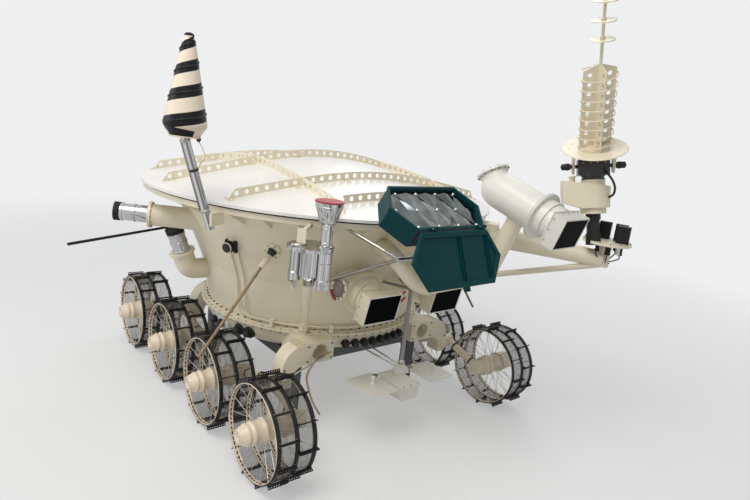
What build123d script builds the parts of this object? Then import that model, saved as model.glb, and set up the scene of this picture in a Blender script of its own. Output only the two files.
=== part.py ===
"""Planetary rover: an eight-wheeled rover on its display stand.

Millimetres. The origin is the centre of the flat underside of the pan, on the axis of the round
hull. +Z is up, the front faces -Y and the rover's left is +X. The ground lies at ground_z.
"""
import os
from math import cos, hypot, radians, sin, sqrt
from build123d import *

# Ride height and wheels
ride_height = 390.0
wheel_dia = 510.0
wheel_width = 200.0
wheel_pitch = 566.7
track = 1600.0
row_mid_y = -80.0
hoop_depth = 10.0
hoop_width = 14.0
lug_height = 21.0
lug_thick = 6.0
lug_pairs = 12
spoke_size = 4.0
spoke_pairs = 6
hub_reach = 75.0
hub_bore_dia = 44.0
hub_bore_deep = 62.0
shaft_clear = 0.05
run_gap = 1.5

# Hull, widest at its rim
pan_radius = 560.0
pan_shoulder_radius = 668.0
pan_top_z = 117.0
pan_plate_radius = 380.0
pan_seam_width = 4.0
pan_seam_deep = 3.0
flange_radius = 692.0
flange_thick = 10.0
upper_flange_radius = 664.0
tub_foot_radius = 650.0
tub_waist_radius = 705.0
tub_waist_z = 390.0
tub_neck_radius = 800.0
tub_neck_z = 620.0
rim_radius = 1040.0
rim_z = 790.0
rim_thick = 26.0
tub_top_radius = 865.0
tub_wall = 30.0
deck_drop = 45.0
deck_thick = 20.0
gusset_count = 36
gusset_height = 100.0
gusset_thick = 4.0

# Lid, a shallow dome with perforated ribs
lid_radius = 1058.0
lid_edge_thick = 14.0
lid_edge_width = 60.0
lid_slope = 0.22
lid_cap_radius = 420.0
lid_skin = 12.0
seal_width = 26.0
seal_thick = 10.0
seat_gap = 0.3
rib_spacing_y = 500.0
rib_x = 466.0
rib_height = 42.0
rib_thick = 4.0
rib_front_y = 780.0
rib_sink = 3.0
rib_end_slope = 0.7
rib_hole_dia = 24.0
rib_hole_pitch = 52.0
hinge_out = 60.0
hinge_x = 240.0
hinge_pin_dia = 16.0

# Suspension
bracket_in = 290.0
bracket_out = 605.0
box_wide = 180.0
box_deep = 240.0
box_low_z = 1.0
box_hole_dia = 84.0
box_hole_deep = 70.0
casting_front = 32.0
casting_thick = 95.0
shoulder_radius = 125.0
vent_count = 4
vent_long = 56.0
vent_deep = 12.0
vent_lean = 14.0
boss_radius = 50.0
boss_long = 40.0
pivot_z = -60.0
pivot_dia = 76.0
arm_dia = 46.0

# Display stand
stand_half_x = 430.0
stand_half_y = 520.0
stand_tube = 60.0

ground_z = -ride_height
axle_z = ground_z + wheel_dia / 2
lid_seat_z = rim_z + rim_thick + seal_thick + seat_gap
lid_top_z = lid_seat_z + lid_edge_thick
hinge_y = lid_radius + hinge_out
hinge_z = lid_seat_z + lid_edge_thick / 2

PARTS = {}


def keep(name, part):
    """Label a finished piece and put it on the list that is written at the end."""
    part.label = name
    PARTS[name] = part


def rod(start, end, dia, side=None):
    """A round bar from start to end."""
    line = Vector(*end) - Vector(*start)
    plane = Plane(origin=start, z_dir=line) if side is None else Plane(origin=start, x_dir=side, z_dir=line)
    return extrude(plane * Circle(dia / 2), line.length)


def turned(rows, plane=Plane.XY):
    """A solid of revolution about z from rows of (radius, height)."""
    outline = [(0, rows[0][1])] + list(rows) + [(0, rows[-1][1])]
    with BuildPart(Plane.XY) as body:
        with BuildSketch(Plane.XZ):
            with BuildLine():
                Polyline(*outline, close=True)
            make_face()
        revolve(axis=Axis.Z)
    return plane.location * body.part


def polar(radius, angle, z):
    """A point from its distance to the hull's axis and its angle from +X."""
    return (radius * cos(radians(angle)), radius * sin(radians(angle)), z)


# Wheel: three hoops, lugs in two staggered rows, wire spokes and a ribbed hub drum
def wheel_solid():
    """One wheel, centred on its middle hoop, axle along X, outboard towards -X."""
    hoop_r = wheel_dia / 2 - lug_height
    half = wheel_width / 2
    axle = Plane(origin=(0, 0, 0), x_dir=(0, 1, 0), z_dir=(-1, 0, 0))
    hoops = []
    for x in (-half + hoop_width / 2, 0, half - hoop_width / 2):
        with BuildPart() as hoop:
            with BuildSketch(axle.offset(x - hoop_width / 2)):
                Circle(hoop_r)
                Circle(hoop_r - hoop_depth, mode=Mode.SUBTRACT)
            extrude(amount=hoop_width)
        hoops.append(hoop.part)
    lugs = []
    for row, side in enumerate((-1, 1)):
        for i in range(lug_pairs):
            turn = 360 / lug_pairs * (i + row / 2)
            lug = Box(half, lug_thick, lug_height + hoop_depth / 2)
            place = Rot(turn, 0, 0) * Pos(side * half / 2, 0, hoop_r + (lug_height - hoop_depth / 2) / 2)
            lugs.append(place * lug)
    # radius, distance outboard of the middle hoop
    drum_rows = [
        (58, -half), (58, -40), (52, -36), (52, 10), (60, 14), (60, 26), (52, 30), (52, 62),
        (60, 66), (60, 78), (52, 82), (52, 128), (44, 150), (36, half + hub_reach),
    ]
    drum = turned(drum_rows, Plane(origin=(0, 0, 0), z_dir=(-1, 0, 0)))
    bore = Pos(half, 0, 0) * Rot(0, -90, 0) * Cylinder(
        hub_bore_dia / 2 + shaft_clear, hub_bore_deep, align=(Align.CENTER, Align.CENTER, Align.MIN))
    drum = drum - bore
    spokes = []
    for side in (-1, 1):
        for i in range(spoke_pairs):
            turn = 360 / spoke_pairs * (i + (side + 1) / 4)
            span = hoop_r - hoop_depth / 2 - 54
            spoke = Pos(0, 0, 54 + span / 2 - 4) * Box(spoke_size, spoke_size, span + 8)
            spokes.append(Rot(turn, 0, 0) * Pos(side * (half - hoop_width / 2), 0, 0) * spoke)
    return drum.fuse(*hoops, *lugs, *spokes)


wheel = wheel_solid()
for row in range(4):
    y = row_mid_y + (row - 1.5) * wheel_pitch
    keep(f"wheel_right_{row + 1}", Pos(-track / 2, y, axle_z) * wheel)
    keep(f"wheel_left_{row + 1}", Pos(track / 2, y, axle_z) * Rot(0, 0, 180) * wheel)

# Hull: pan, bolted flange, flared tub and rim
with BuildPart() as belly_pan:
    with BuildSketch(Plane.XZ):
        with BuildLine():
            Line((0, 0), (pan_radius, 0))
            ThreePointArc((pan_radius, 0), (pan_radius + 78, 34), (pan_shoulder_radius, pan_top_z))
            Line((pan_shoulder_radius, pan_top_z), (0, pan_top_z))
            Line((0, pan_top_z), (0, 0))
        make_face()
    revolve(axis=Axis.Z)
    with BuildSketch(Plane.XY):
        Circle(pan_plate_radius + pan_seam_width)
        Circle(pan_plate_radius, mode=Mode.SUBTRACT)
    extrude(amount=pan_seam_deep, mode=Mode.SUBTRACT)
keep("belly_pan", belly_pan.part)

flange_z = pan_top_z
with BuildPart() as belly_flange:
    with BuildSketch(Plane.XY.offset(flange_z)):
        Circle(flange_radius)
    extrude(amount=flange_thick)
    with BuildSketch(Plane.XY.offset(flange_z + flange_thick)):
        Circle(upper_flange_radius)
    extrude(amount=flange_thick)
keep("belly_flange", belly_flange.part)

tub_foot_z = flange_z + 2 * flange_thick
tub_rows = [
    (tub_foot_radius, tub_foot_z), (tub_waist_radius, tub_waist_z),
    (tub_neck_radius, tub_neck_z), (tub_top_radius, rim_z - deck_drop),
]


def tub_at(z):
    """Outer radius of the tub at a height."""
    for (r0, z0), (r1, z1) in zip(tub_rows, tub_rows[1:]):
        if z <= z1:
            return r0 + (r1 - r0) * (z - z0) / (z1 - z0)
    return tub_top_radius


deck_z = rim_z - deck_drop
deck_radius = tub_top_radius - tub_wall
with BuildPart() as hull_tub:
    add(turned(tub_rows))
keep("hull_tub", hull_tub.part)

with BuildPart() as radiator_deck:
    with BuildSketch(Plane.XY.offset(deck_z)):
        Circle(deck_radius - 0.5)
    extrude(amount=deck_thick)
keep("radiator_deck", radiator_deck.part)

with BuildPart() as rim_ring:
    with BuildSketch(Plane.XZ):
        with BuildLine():
            Polyline((deck_radius, deck_z), (tub_top_radius, deck_z), (tub_top_radius + 20, rim_z),
                     (rim_radius, rim_z), (rim_radius, rim_z + rim_thick),
                     (deck_radius, rim_z + rim_thick), close=True)
        make_face()
    revolve(axis=Axis.Z)
    with BuildSketch(Plane.XZ.offset(-gusset_thick / 2)):
        with BuildLine():
            Polyline((tub_neck_radius, rim_z), (rim_radius - 18, rim_z),
                     (tub_neck_radius, rim_z - gusset_height), close=True)
        make_face()
    gusset = extrude(amount=gusset_thick, mode=Mode.PRIVATE)
    with PolarLocations(0, gusset_count):
        add(gusset)
    add(hull_tub.part, mode=Mode.SUBTRACT)
    with BuildSketch(Plane.XY.offset(deck_z)):
        Circle(deck_radius)
    extrude(amount=deck_drop, mode=Mode.SUBTRACT)
keep("rim_ring", rim_ring.part)

with BuildPart() as lid_seal:
    with BuildSketch(Plane.XY.offset(rim_z + rim_thick)):
        Circle(rim_radius - 4)
        Circle(rim_radius - 4 - seal_width, mode=Mode.SUBTRACT)
    extrude(amount=seal_thick)
keep("lid_seal", lid_seal.part)


# Lid: domed skin, perforated ribs across it, dark cells on its inner face
def dome_height(radius):
    """Height of the lid's outer skin over its edge, at a distance from the middle."""
    if radius >= lid_cap_radius:
        return lid_slope * (lid_radius - radius)
    ball = lid_cap_radius * hypot(1, lid_slope) / lid_slope
    cap = sqrt(ball ** 2 - radius ** 2) - sqrt(ball ** 2 - lid_cap_radius ** 2)
    return lid_slope * (lid_radius - lid_cap_radius) + cap


def dome_outline(drop):
    """Half section of the dome, drop below its outer skin, from the edge to the middle."""
    blend = [(r, lid_top_z + dome_height(r) - drop) for r in (lid_cap_radius, lid_cap_radius / 2, 0)]
    return [(lid_radius - drop, lid_top_z)] + blend


with BuildPart() as lid_panel:
    outer = dome_outline(0)
    inner = dome_outline(lid_skin)
    with BuildSketch(Plane.XZ):
        with BuildLine():
            Polyline((lid_radius - lid_edge_width, lid_seat_z), (lid_radius, lid_seat_z), outer[0], outer[1])
            ThreePointArc(outer[1], outer[2], outer[3])
            Line(outer[3], inner[3])
            ThreePointArc(inner[3], inner[2], inner[1])
            Polyline(inner[1], (lid_radius - lid_edge_width, lid_top_z), (lid_radius - lid_edge_width, lid_seat_z))
        make_face()
    revolve(axis=Axis.Z)
keep("lid_panel", lid_panel.part)


def rib_shell():
    """The space between the lid's skin and the ribs' top edge, a little into the skin."""
    low = dome_outline(rib_sink)
    high = [(r, z + rib_height + rib_sink) for r, z in low]
    with BuildPart(Plane.XY) as shell:
        with BuildSketch(Plane.XZ):
            with BuildLine():
                Line(low[0], low[1])
                ThreePointArc(low[1], low[2], low[3])
                Line(low[3], high[3])
                ThreePointArc(high[3], high[2], high[1])
                Line(high[1], high[0])
                Line(high[0], low[0])
            make_face()
        revolve(axis=Axis.Z)
    return shell.part


def reach(offset, margin=45.0):
    """Half length of a rib at this distance from the lid's middle."""
    return sqrt((lid_radius - margin) ** 2 - offset ** 2)


def rib_blank(offset, start, end, across):
    """Upright plate from start to end along a rib's line, its top corners cut back, with a row of round holes."""
    way = 1 if end > start else -1
    low_z = lid_top_z - rib_sink
    high_z = lid_top_z + dome_height(0) + 2 * rib_height
    slope = rib_end_slope * (high_z - low_z) * way
    plane = Plane(origin=(0, offset, 0), x_dir=(1, 0, 0), z_dir=(0, -1, 0))
    if across == "y":
        plane = Plane(origin=(offset, 0, 0), x_dir=(0, 1, 0), z_dir=(1, 0, 0))
    count = int(abs(end - start) / rib_hole_pitch) - 1
    with BuildPart() as rib:
        with BuildSketch(plane):
            with BuildLine():
                Polyline((start, low_z), (end, low_z), (end - slope, high_z), (start + slope, high_z), close=True)
            make_face()
            for i in range(count):
                s = start + (end - start) * (i + 1) / (count + 1)
                z = lid_top_z + dome_height(hypot(s, offset)) + rib_height / 2
                with Locations((s, z)):
                    Circle(rib_hole_dia / 2, mode=Mode.SUBTRACT)
        extrude(amount=rib_thick / 2, both=True)
    return rib.part


# offset from the lid's middle, start and end along the rib, axis it runs along
rib_rows = [
    (-rib_spacing_y, -reach(rib_spacing_y), reach(rib_spacing_y), "x"), (0.0, -reach(0), reach(0), "x"),
    (rib_spacing_y, -reach(rib_spacing_y), reach(rib_spacing_y), "x"),
    (-rib_front_y, -rib_x, rib_x, "x"),
    (-rib_x, -reach(rib_x), reach(rib_x), "y"), (rib_x, -reach(rib_x), reach(rib_x), "y"),
]
rib_parts = [rib_blank(*row) for row in rib_rows]
lid_ribs = (rib_parts[0].fuse(*rib_parts[1:]) & rib_shell()) - lid_panel.part
keep("lid_ribs", lid_ribs)

with BuildPart() as solar_cells:
    with BuildSketch(Plane.XY.offset(lid_seat_z + 1)):
        Circle(lid_radius - lid_edge_width - 0.2)
    extrude(amount=lid_edge_thick - 2)
keep("solar_cells", solar_cells.part)

# Lid hinge at the rear: forks on the rim, knuckles on the lid, pins through both
fork_rows = [(-hinge_x, 1), (hinge_x, -1)]
forks = []
knuckles = []
pins = []
for x, side in fork_rows:
    edge_y = sqrt(lid_radius ** 2 - x ** 2)
    rim_y = sqrt(rim_radius ** 2 - x ** 2)
    for out in (-1, 1):
        with BuildPart() as cheek:
            with BuildSketch(Plane(origin=(x + out * 21, 0, 0), x_dir=(0, 1, 0), z_dir=(1, 0, 0))):
                with BuildLine():
                    Polyline((rim_y - 4, rim_z - 24), (rim_y - 4, rim_z + rim_thick - 6),
                             (hinge_y - 22, hinge_z + 18), (hinge_y + 18, hinge_z + 18),
                             (hinge_y + 18, hinge_z - 18), close=True)
                make_face()
                with Locations((hinge_y, hinge_z)):
                    Circle(hinge_pin_dia / 2, mode=Mode.SUBTRACT)
            extrude(amount=5, both=True)
        forks.append(cheek.part)
    with BuildPart() as knuckle:
        with BuildSketch(Plane(origin=(x, 0, 0), x_dir=(0, 1, 0), z_dir=(1, 0, 0))):
            with BuildLine():
                Polyline((edge_y + 0.0, lid_seat_z), (edge_y, lid_top_z), (hinge_y, hinge_z + 16),
                         (hinge_y + 16, hinge_z), (hinge_y, hinge_z - 16), close=True)
            make_face()
            with Locations((hinge_y, hinge_z)):
                Circle(hinge_pin_dia / 2 + shaft_clear, mode=Mode.SUBTRACT)
        extrude(amount=14, both=True)
    knuckles.append(knuckle.part)
    with BuildPart() as pin:
        with BuildSketch(Plane(origin=(x, hinge_y, hinge_z), x_dir=(0, 1, 0), z_dir=(1, 0, 0))):
            Circle(hinge_pin_dia / 2)
        extrude(amount=30, both=True)
    pins.append(pin.part)
keep("lid_hinge_forks", forks[0].fuse(*forks[1:], *pins) - rim_ring.part)
keep("lid_knuckles", Compound(children=[k - lid_panel.part for k in knuckles]))


# Suspension: four castings under the flange, each with a torsion tube and two swing arms
def casting(sx, sy, pivot_y):
    """Bracket casting: a box with a round hole against the pan, and a rounded shoulder over the torsion tube."""
    front = pivot_y + sy * casting_front
    top_z = pan_top_z - 1
    shoulder_mid = (sx * (bracket_out - shoulder_radius), top_z - shoulder_radius)
    turn = sin(radians(45)) * shoulder_radius
    with BuildPart() as body:
        with BuildSketch(Plane.XZ.offset(-front)):
            with BuildLine():
                Polyline((sx * bracket_in, box_low_z), (sx * bracket_in, top_z), (shoulder_mid[0], top_z))
                ThreePointArc((shoulder_mid[0], top_z), (shoulder_mid[0] + sx * turn, shoulder_mid[1] + turn),
                              (sx * bracket_out, shoulder_mid[1]))
                Polyline((sx * bracket_out, shoulder_mid[1]), (sx * bracket_out, pivot_z - boss_radius),
                         (sx * (bracket_out - 60), pivot_z - boss_radius),
                         (sx * (bracket_out - 60), pivot_z + 10))
                ThreePointArc((sx * (bracket_out - 60), pivot_z + 10), (sx * (bracket_out - 85), pivot_z + 45),
                              (sx * (bracket_out - 130), box_low_z))
                Line((sx * (bracket_out - 130), box_low_z), (sx * bracket_in, box_low_z))
            make_face()
        extrude(amount=sy * casting_thick)
        with BuildSketch(Plane.XZ.offset(-front)):
            with Locations((sx * (bracket_in + box_wide / 2), (box_low_z + top_z) / 2)):
                Rectangle(box_wide, top_z - box_low_z)
        extrude(amount=sy * box_deep)
        with BuildSketch(Plane.XZ.offset(-front)):
            with Locations((sx * (bracket_in + box_wide / 2), (box_low_z + top_z) / 2)):
                Circle(box_hole_dia / 2)
        extrude(amount=sy * box_hole_deep, mode=Mode.SUBTRACT)
        for i in range(vent_count):
            vent_y = front - sy * casting_thick * (i + 0.5) / vent_count
            with Locations(Pos(shoulder_mid[0] + sx * vent_long / 4, vent_y, top_z) * Rot(0, sx * vent_lean, 0)):
                Box(vent_long, casting_thick / vent_count / 2, 2 * vent_deep, mode=Mode.SUBTRACT)
        with BuildSketch(Plane.YZ.offset(sx * (bracket_out - boss_long / 2))):
            with Locations((pivot_y, pivot_z)):
                Circle(boss_radius)
        extrude(amount=boss_long / 2, both=True)
    return body.part


castings = []
arms = []
stubs = []
for sx in (-1, 1):
    for pair, sy in ((0, -1), (1, 1)):
        wheels_y = [row_mid_y + (2 * pair + k - 1.5) * wheel_pitch for k in (0, 1)]
        pivot_y = sum(wheels_y) / 2
        castings.append(casting(sx, sy, pivot_y) - belly_pan.part - belly_flange.part)
        inner_x = track / 2 - wheel_width / 2
        for y in wheels_y:
            foot = (sx * (inner_x - 45), pivot_y + (y - pivot_y) * 0.12, pivot_z)
            hub = (sx * (inner_x - 45), y, axle_z)
            arms.append(rod(foot, hub, arm_dia, side=(1, 0, 0)))
            boss = rod((sx * (inner_x - 70), y, axle_z), (sx * (inner_x - run_gap), y, axle_z), 84, (0, 1, 0))
            stub = rod((sx * (inner_x - 30), y, axle_z),
                       (sx * (inner_x + hub_bore_deep - run_gap), y, axle_z), hub_bore_dia, (0, 1, 0))
            arms.append(boss)
            arms.append(stub)
        arms.append(rod((sx * 560, pivot_y, pivot_z), (sx * (inner_x - 15), pivot_y, pivot_z), pivot_dia, (0, 1, 0)))
swing = arms[0].fuse(*arms[1:])
cast = castings[0].fuse(*castings[1:]) - swing
keep("suspension_castings", cast)
keep("swing_arms", swing)

# Display stand: a square-tube frame under the pan on four legs
beams = []
top = -stand_tube / 2
for sy in (-1, 1):
    beams.append(Pos(0, sy * stand_half_y, top) * Box(2 * stand_half_x + stand_tube, stand_tube, stand_tube))
for sx in (-1, 1):
    beams.append(Pos(sx * stand_half_x, 0, top) * Box(stand_tube, 2 * stand_half_y - stand_tube, stand_tube))
    for sy in (-1, 1):
        leg_len = ride_height - stand_tube
        leg_x = sx * stand_half_x
        beams.append(Pos(leg_x, sy * stand_half_y, -stand_tube - leg_len / 2) * Box(stand_tube, stand_tube, leg_len))
keep("display_stand", beams[0].fuse(*beams[1:]))


# Television cameras: two low ones side by side, and a third held high
hood_wide = 216.0
hood_high = 160.0
hood_long = 68.0
hood_wall = 4.0
hood_plate = 5.0
hood_lip = 5.0
glass_thick = 3.0
eye_pitch = 12.5
neck_long = 108.0
barrel_dia = 190.0
port_dia = 140.0
port_flange_dia = 172.0
# radius, distance behind the hood's back plate
neck_rows = [(90, 0), (90, 46), (99, 46), (99, 54), (96, 54), (96, 94), (122, 94), (122, 101), (118, 101),
             (118, 104), (122, 104), (122, neck_long)]


def camera_front(mouth):
    """Hood of thin walls with its mouth on the plane, its back plate, and the necked barrel front behind it."""
    with BuildPart() as hood:
        with BuildSketch(mouth):
            Rectangle(hood_wide, hood_high)
        extrude(amount=-hood_long)
        with BuildSketch(mouth):
            Rectangle(hood_wide - 2 * hood_wall, hood_high - 2 * hood_wall)
        extrude(amount=-glass_thick - hood_wall, mode=Mode.SUBTRACT)
        with BuildSketch(mouth.offset(-hood_long)):
            Rectangle(hood_wide + 2 * hood_lip, hood_high + 2 * hood_lip)
        extrude(amount=-hood_plate)
    back = mouth.offset(-hood_long - hood_plate)
    return hood.part.fuse(turned(neck_rows, Plane(origin=back.origin, z_dir=-back.z_dir)))


def camera_glass(mouth):
    """Dark pane set back in the hood's mouth."""
    with BuildPart() as glass:
        with BuildSketch(mouth.offset(-glass_thick - hood_wall)):
            Rectangle(hood_wide - 2 * hood_wall - 0.4, hood_high - 2 * hood_wall - 0.4)
        extrude(amount=glass_thick)
    return glass.part


def looking(point, yaw, pitch):
    """A plane at a point that looks forward, turned towards +X by yaw and down by pitch."""
    view = Vector(sin(radians(yaw)) * cos(radians(pitch)), -cos(radians(yaw)) * cos(radians(pitch)),
                  -sin(radians(pitch)))
    side = Vector(cos(radians(yaw)), sin(radians(yaw)), 0)
    return Plane(origin=point, x_dir=side, z_dir=view)


camera_long = hood_long + hood_plate + neck_long
eyes = []
glasses = []
for sx in (-1, 1):
    mouth = looking((sx * 230, -967, 376), 0, eye_pitch)
    back = mouth.offset(-camera_long)
    barrel = rod(tuple(back.origin), tuple(back.offset(-160).origin), barrel_dia)
    port_at = back.offset(-36).origin
    port = rod(tuple(port_at), tuple(port_at + Vector(sx * 128, 0, 12)), 96)
    port_flange = rod(tuple(port_at + Vector(sx * 118, 0, 11)), tuple(port_at + Vector(sx * 128, 0, 12)), 122)
    eyes.append(camera_front(mouth).fuse(barrel, port, port_flange) - hull_tub.part)
    glasses.append(camera_glass(mouth))
keep("eye_cameras", Compound(children=eyes))

mast_yaw = 3.1
mast_pitch = 17.6
mast_mouth = looking((345, -1564, 878), mast_yaw, mast_pitch)
mast_barrel_long = 270.0
glasses.append(camera_glass(mast_mouth))
keep("camera_windows", Compound(children=glasses))
barrel_front = mast_mouth.offset(-camera_long)
barrel_back = barrel_front.offset(-mast_barrel_long)
port_line = (0.80 * Vector(*-barrel_front.z_dir) + 0.60 * Vector(*barrel_front.y_dir)).normalized()
port_end = barrel_back.origin + port_line * 104
mast_barrel = rod(tuple(barrel_front.origin), tuple(barrel_back.origin), barrel_dia)
rear_ball = Pos(*barrel_back.origin) * Sphere(barrel_dia / 2)
mast_port = rod(tuple(barrel_back.origin), tuple(port_end), port_dia)
mast_port_flange = rod(tuple(port_end - port_line * 10), tuple(port_end), port_flange_dia)
mast_camera = camera_front(mast_mouth).fuse(mast_barrel, rear_ball, mast_port, mast_port_flange)
keep("mast_camera", mast_camera)

# Thick pipe from the hull's front to the high camera
pipe_dia = 88.0
pipe_bend = 85.0
pipe_top = mast_mouth.from_local_coords((0, 0, -camera_long - 110))
pipe_route = [(-110, -640, 612), (-170, -880, 668), (-110, -1075, 515), (345, -1120, 548),
              (pipe_top.X, pipe_top.Y, pipe_top.Z)]
with BuildPart() as camera_pipe:
    with BuildLine() as route:
        FilletPolyline(*pipe_route, radius=pipe_bend)
    with BuildSketch(Plane(origin=route.line @ 0, z_dir=route.line % 0)):
        Circle(pipe_dia / 2)
    sweep()
pipe = camera_pipe.part - hull_tub.part - mast_camera
keep("camera_pipe", pipe)

# Laser reflector: hexagonal box facing forward and up, its cover hanging open in front
face_tilt = 33.0
hex_long = 455.0
hex_point = 125.0
hex_high = 272.0
box_depth = 112.0
reflector_at = (-180.0, -1215.0, 955.0)
cover_open = 214.0
wall = 10.0
face = Plane(origin=reflector_at, x_dir=(1, 0, 0),
             z_dir=(0, -sin(radians(face_tilt)), cos(radians(face_tilt))))


def hexagon(grow=0.0):
    """Long hexagon with a point at each end, grown outward by an amount."""
    half = hex_long / 2
    high = hex_high / 2 + grow
    tip = half + hex_point + grow * 1.4
    return [(-half, -high), (half, -high), (tip, 0), (half, high), (-half, high), (-tip, 0)]


cover_drop = 12.0
cover_rise = 8.0
cover_lap = 18.0
cover_slab = 16.0
cover_border = 24.0
cover_pocket = 11.0
cover_rib_wide = 14.0
cover_rib_x = (-20.0, 190.0)
cover_pin_dia = 8.0
ear_x = 150.0
ear_apart = 16.0
ear_thick = 6.0
hinge_line = (-hex_high / 2 - cover_drop, cover_rise)


def on_hinge(x, plane):
    """A plane across the hinge line at x, its own x along the face and its y out of it."""
    return Plane(origin=plane.from_local_coords((x, 0, 0)), x_dir=plane.y_dir, z_dir=plane.x_dir)


# distance up the face from the pin, distance out of the face from the pin
ear_outline = [(12, -36), (12, -6), (5, 6), (-7, 5), (-8, -4)]
cover_ears = []
for x in (-ear_x, ear_x):
    for side in (-1, 1):
        with BuildPart() as ear:
            with BuildSketch(on_hinge(x + side * ear_apart, face)):
                with BuildLine():
                    Polyline(*[(hinge_line[0] + y, cover_rise + z) for y, z in ear_outline], close=True)
                make_face()
            extrude(amount=ear_thick / 2, both=True)
        cover_ears.append(ear.part)
    with BuildPart() as ear_pin:
        with BuildSketch(on_hinge(x, face)):
            with Locations(hinge_line):
                Circle(cover_pin_dia / 2)
        extrude(amount=ear_apart + ear_thick / 2, both=True)
    cover_ears.append(ear_pin.part)
with BuildPart() as reflector_box:
    with BuildSketch(face):
        with BuildLine():
            Polyline(*hexagon(), close=True)
        make_face()
    extrude(amount=-box_depth)
    with BuildSketch(face):
        with BuildLine():
            Polyline(*hexagon(-wall), close=True)
        make_face()
    extrude(amount=-30, mode=Mode.SUBTRACT)
keep("reflector_box", reflector_box.part.fuse(*cover_ears))
with BuildPart() as reflector_prisms:
    with BuildSketch(face.offset(-30)):
        with BuildLine():
            Polyline(*hexagon(-wall - 0.5), close=True)
        make_face()
    extrude(amount=18)
keep("reflector_prisms", reflector_prisms.part)

cover_pin = face.from_local_coords((0, *hinge_line))
cover_plane = Plane(origin=(cover_pin.X, cover_pin.Y, cover_pin.Z), x_dir=(1, 0, 0),
                    z_dir=(0, -sin(radians(face_tilt + cover_open)), cos(radians(face_tilt + cover_open))))
with BuildPart() as reflector_cover:
    with BuildSketch(cover_plane.offset(-2)):
        with BuildLine():
            Polyline(*[(x, y + hex_high / 2 + cover_lap) for x, y in hexagon()], close=True)
        make_face()
    extrude(amount=cover_slab)
    with BuildSketch(cover_plane.offset(-2)):
        with BuildLine():
            Polyline(*[(x, y + hex_high / 2 + cover_lap) for x, y in hexagon(-cover_border)], close=True)
        make_face()
        for x in cover_rib_x:
            with Locations((x, hex_high / 2 + cover_lap)):
                Rectangle(cover_rib_wide, hex_high, mode=Mode.SUBTRACT)
    extrude(amount=cover_pocket, mode=Mode.SUBTRACT)
knuckle_parts = []
for x in (-ear_x, ear_x):
    with BuildPart() as lug:
        with BuildSketch(on_hinge(x, cover_plane)):
            with BuildLine():
                Polyline((-7, -6), (-7, 7), (cover_lap + 4, 12), (cover_lap + 4, -1), close=True)
            make_face()
            Circle(cover_pin_dia / 2 + shaft_clear, mode=Mode.SUBTRACT)
        extrude(amount=ear_apart - ear_thick / 2 - 2, both=True)
    knuckle_parts.append(lug.part)
keep("reflector_cover", reflector_cover.part.fuse(*knuckle_parts))

strut_apex = (-335, -1150, 695)
# start, end, diameter
strut_rows = [
    (strut_apex, polar(rim_radius - 40, -117, rim_z - 6), 16),
    (strut_apex, polar(tub_at(430), -121, 430), 18),
    ((-350, -1150, 695), (40, -1150, 690), 22),
    ((-250, -1150, 694), (-250, -1200, 862), 12),
    ((0, -1150, 690), (0, -1200, 862), 12),
    ((130, -1180, 850), polar(rim_radius - 40, -78, rim_z - 6), 20),
]
struts = [rod(start, end, dia) for start, end, dia in strut_rows]
strut_frame = struts[0].fuse(*struts[1:5]) - reflector_box.part - rim_ring.part - hull_tub.part - pipe
for eye in eyes:
    strut_frame -= eye
strut_back = struts[5] - reflector_box.part - rim_ring.part
keep("reflector_struts", Compound(children=[strut_frame, strut_back]))

# Striped cone antenna on its bright tube
cone_foot = polar(rim_radius + 64, 208.7, rim_z - 50)
tube_lean = 18.4
tube_long = 412.0
tube_dia = 38.0
cone_lean = -0.6
tube_plane = Plane(origin=cone_foot, x_dir=(cos(radians(tube_lean)), 0, sin(radians(tube_lean))),
                   z_dir=(-sin(radians(tube_lean)), 0, cos(radians(tube_lean))))
knee = tube_plane.from_local_coords((0, 0, tube_long))
cone_plane = Plane(origin=(knee.X, knee.Y, knee.Z + seat_gap),
                   x_dir=(cos(radians(cone_lean)), 0, sin(radians(cone_lean))),
                   z_dir=(-sin(radians(cone_lean)), 0, cos(radians(cone_lean))))
# radius, height over the tube's top
cone_rows = [(64, 0), (64, 4), (91, 46), (92, 58), (88, 78), (26, 396), (20, 402), (20, 418), (12, 424)]
keep("cone_antenna", turned(cone_rows, cone_plane))
tube = turned([(tube_dia / 2, -20), (tube_dia / 2, tube_long + 30)], tube_plane)
top_cut = cone_plane.location * Pos(0, 0, 50 - seat_gap) * Box(200, 200, 100)
bracket = Pos(*polar(rim_radius + 34, 208.7, rim_z - 22)) * Rot(0, 0, 208.7) * Box(90, 46, 60)
keep("cone_antenna_mount", bracket.fuse(tube - top_cut) - rim_ring.part)

# Steerable antenna: pedestal on an arm, boxes on its plate, turntable with fairing and drive block, tilting head
mast_base = (765.0, -1485.0, 652.0)
mast_lean = 12.5
mast_up = Vector(0, sin(radians(mast_lean)), cos(radians(mast_lean)))
head_up = Vector(-0.37085, -0.08696, 0.92461)
pin_line = mast_up.cross(head_up).normalized()
mast = Plane(origin=mast_base, x_dir=pin_line, z_dir=mast_up)
plate_radius = 125.0
plate_z = 790.0
plate_thick = 14.0
shaft_at = (850.0, -1485.0)
shaft_dia = 62.0
motor_dia = 76.0
motor_top = 294.0
arm_root = (560.0, -950.0, 715.0)

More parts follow.
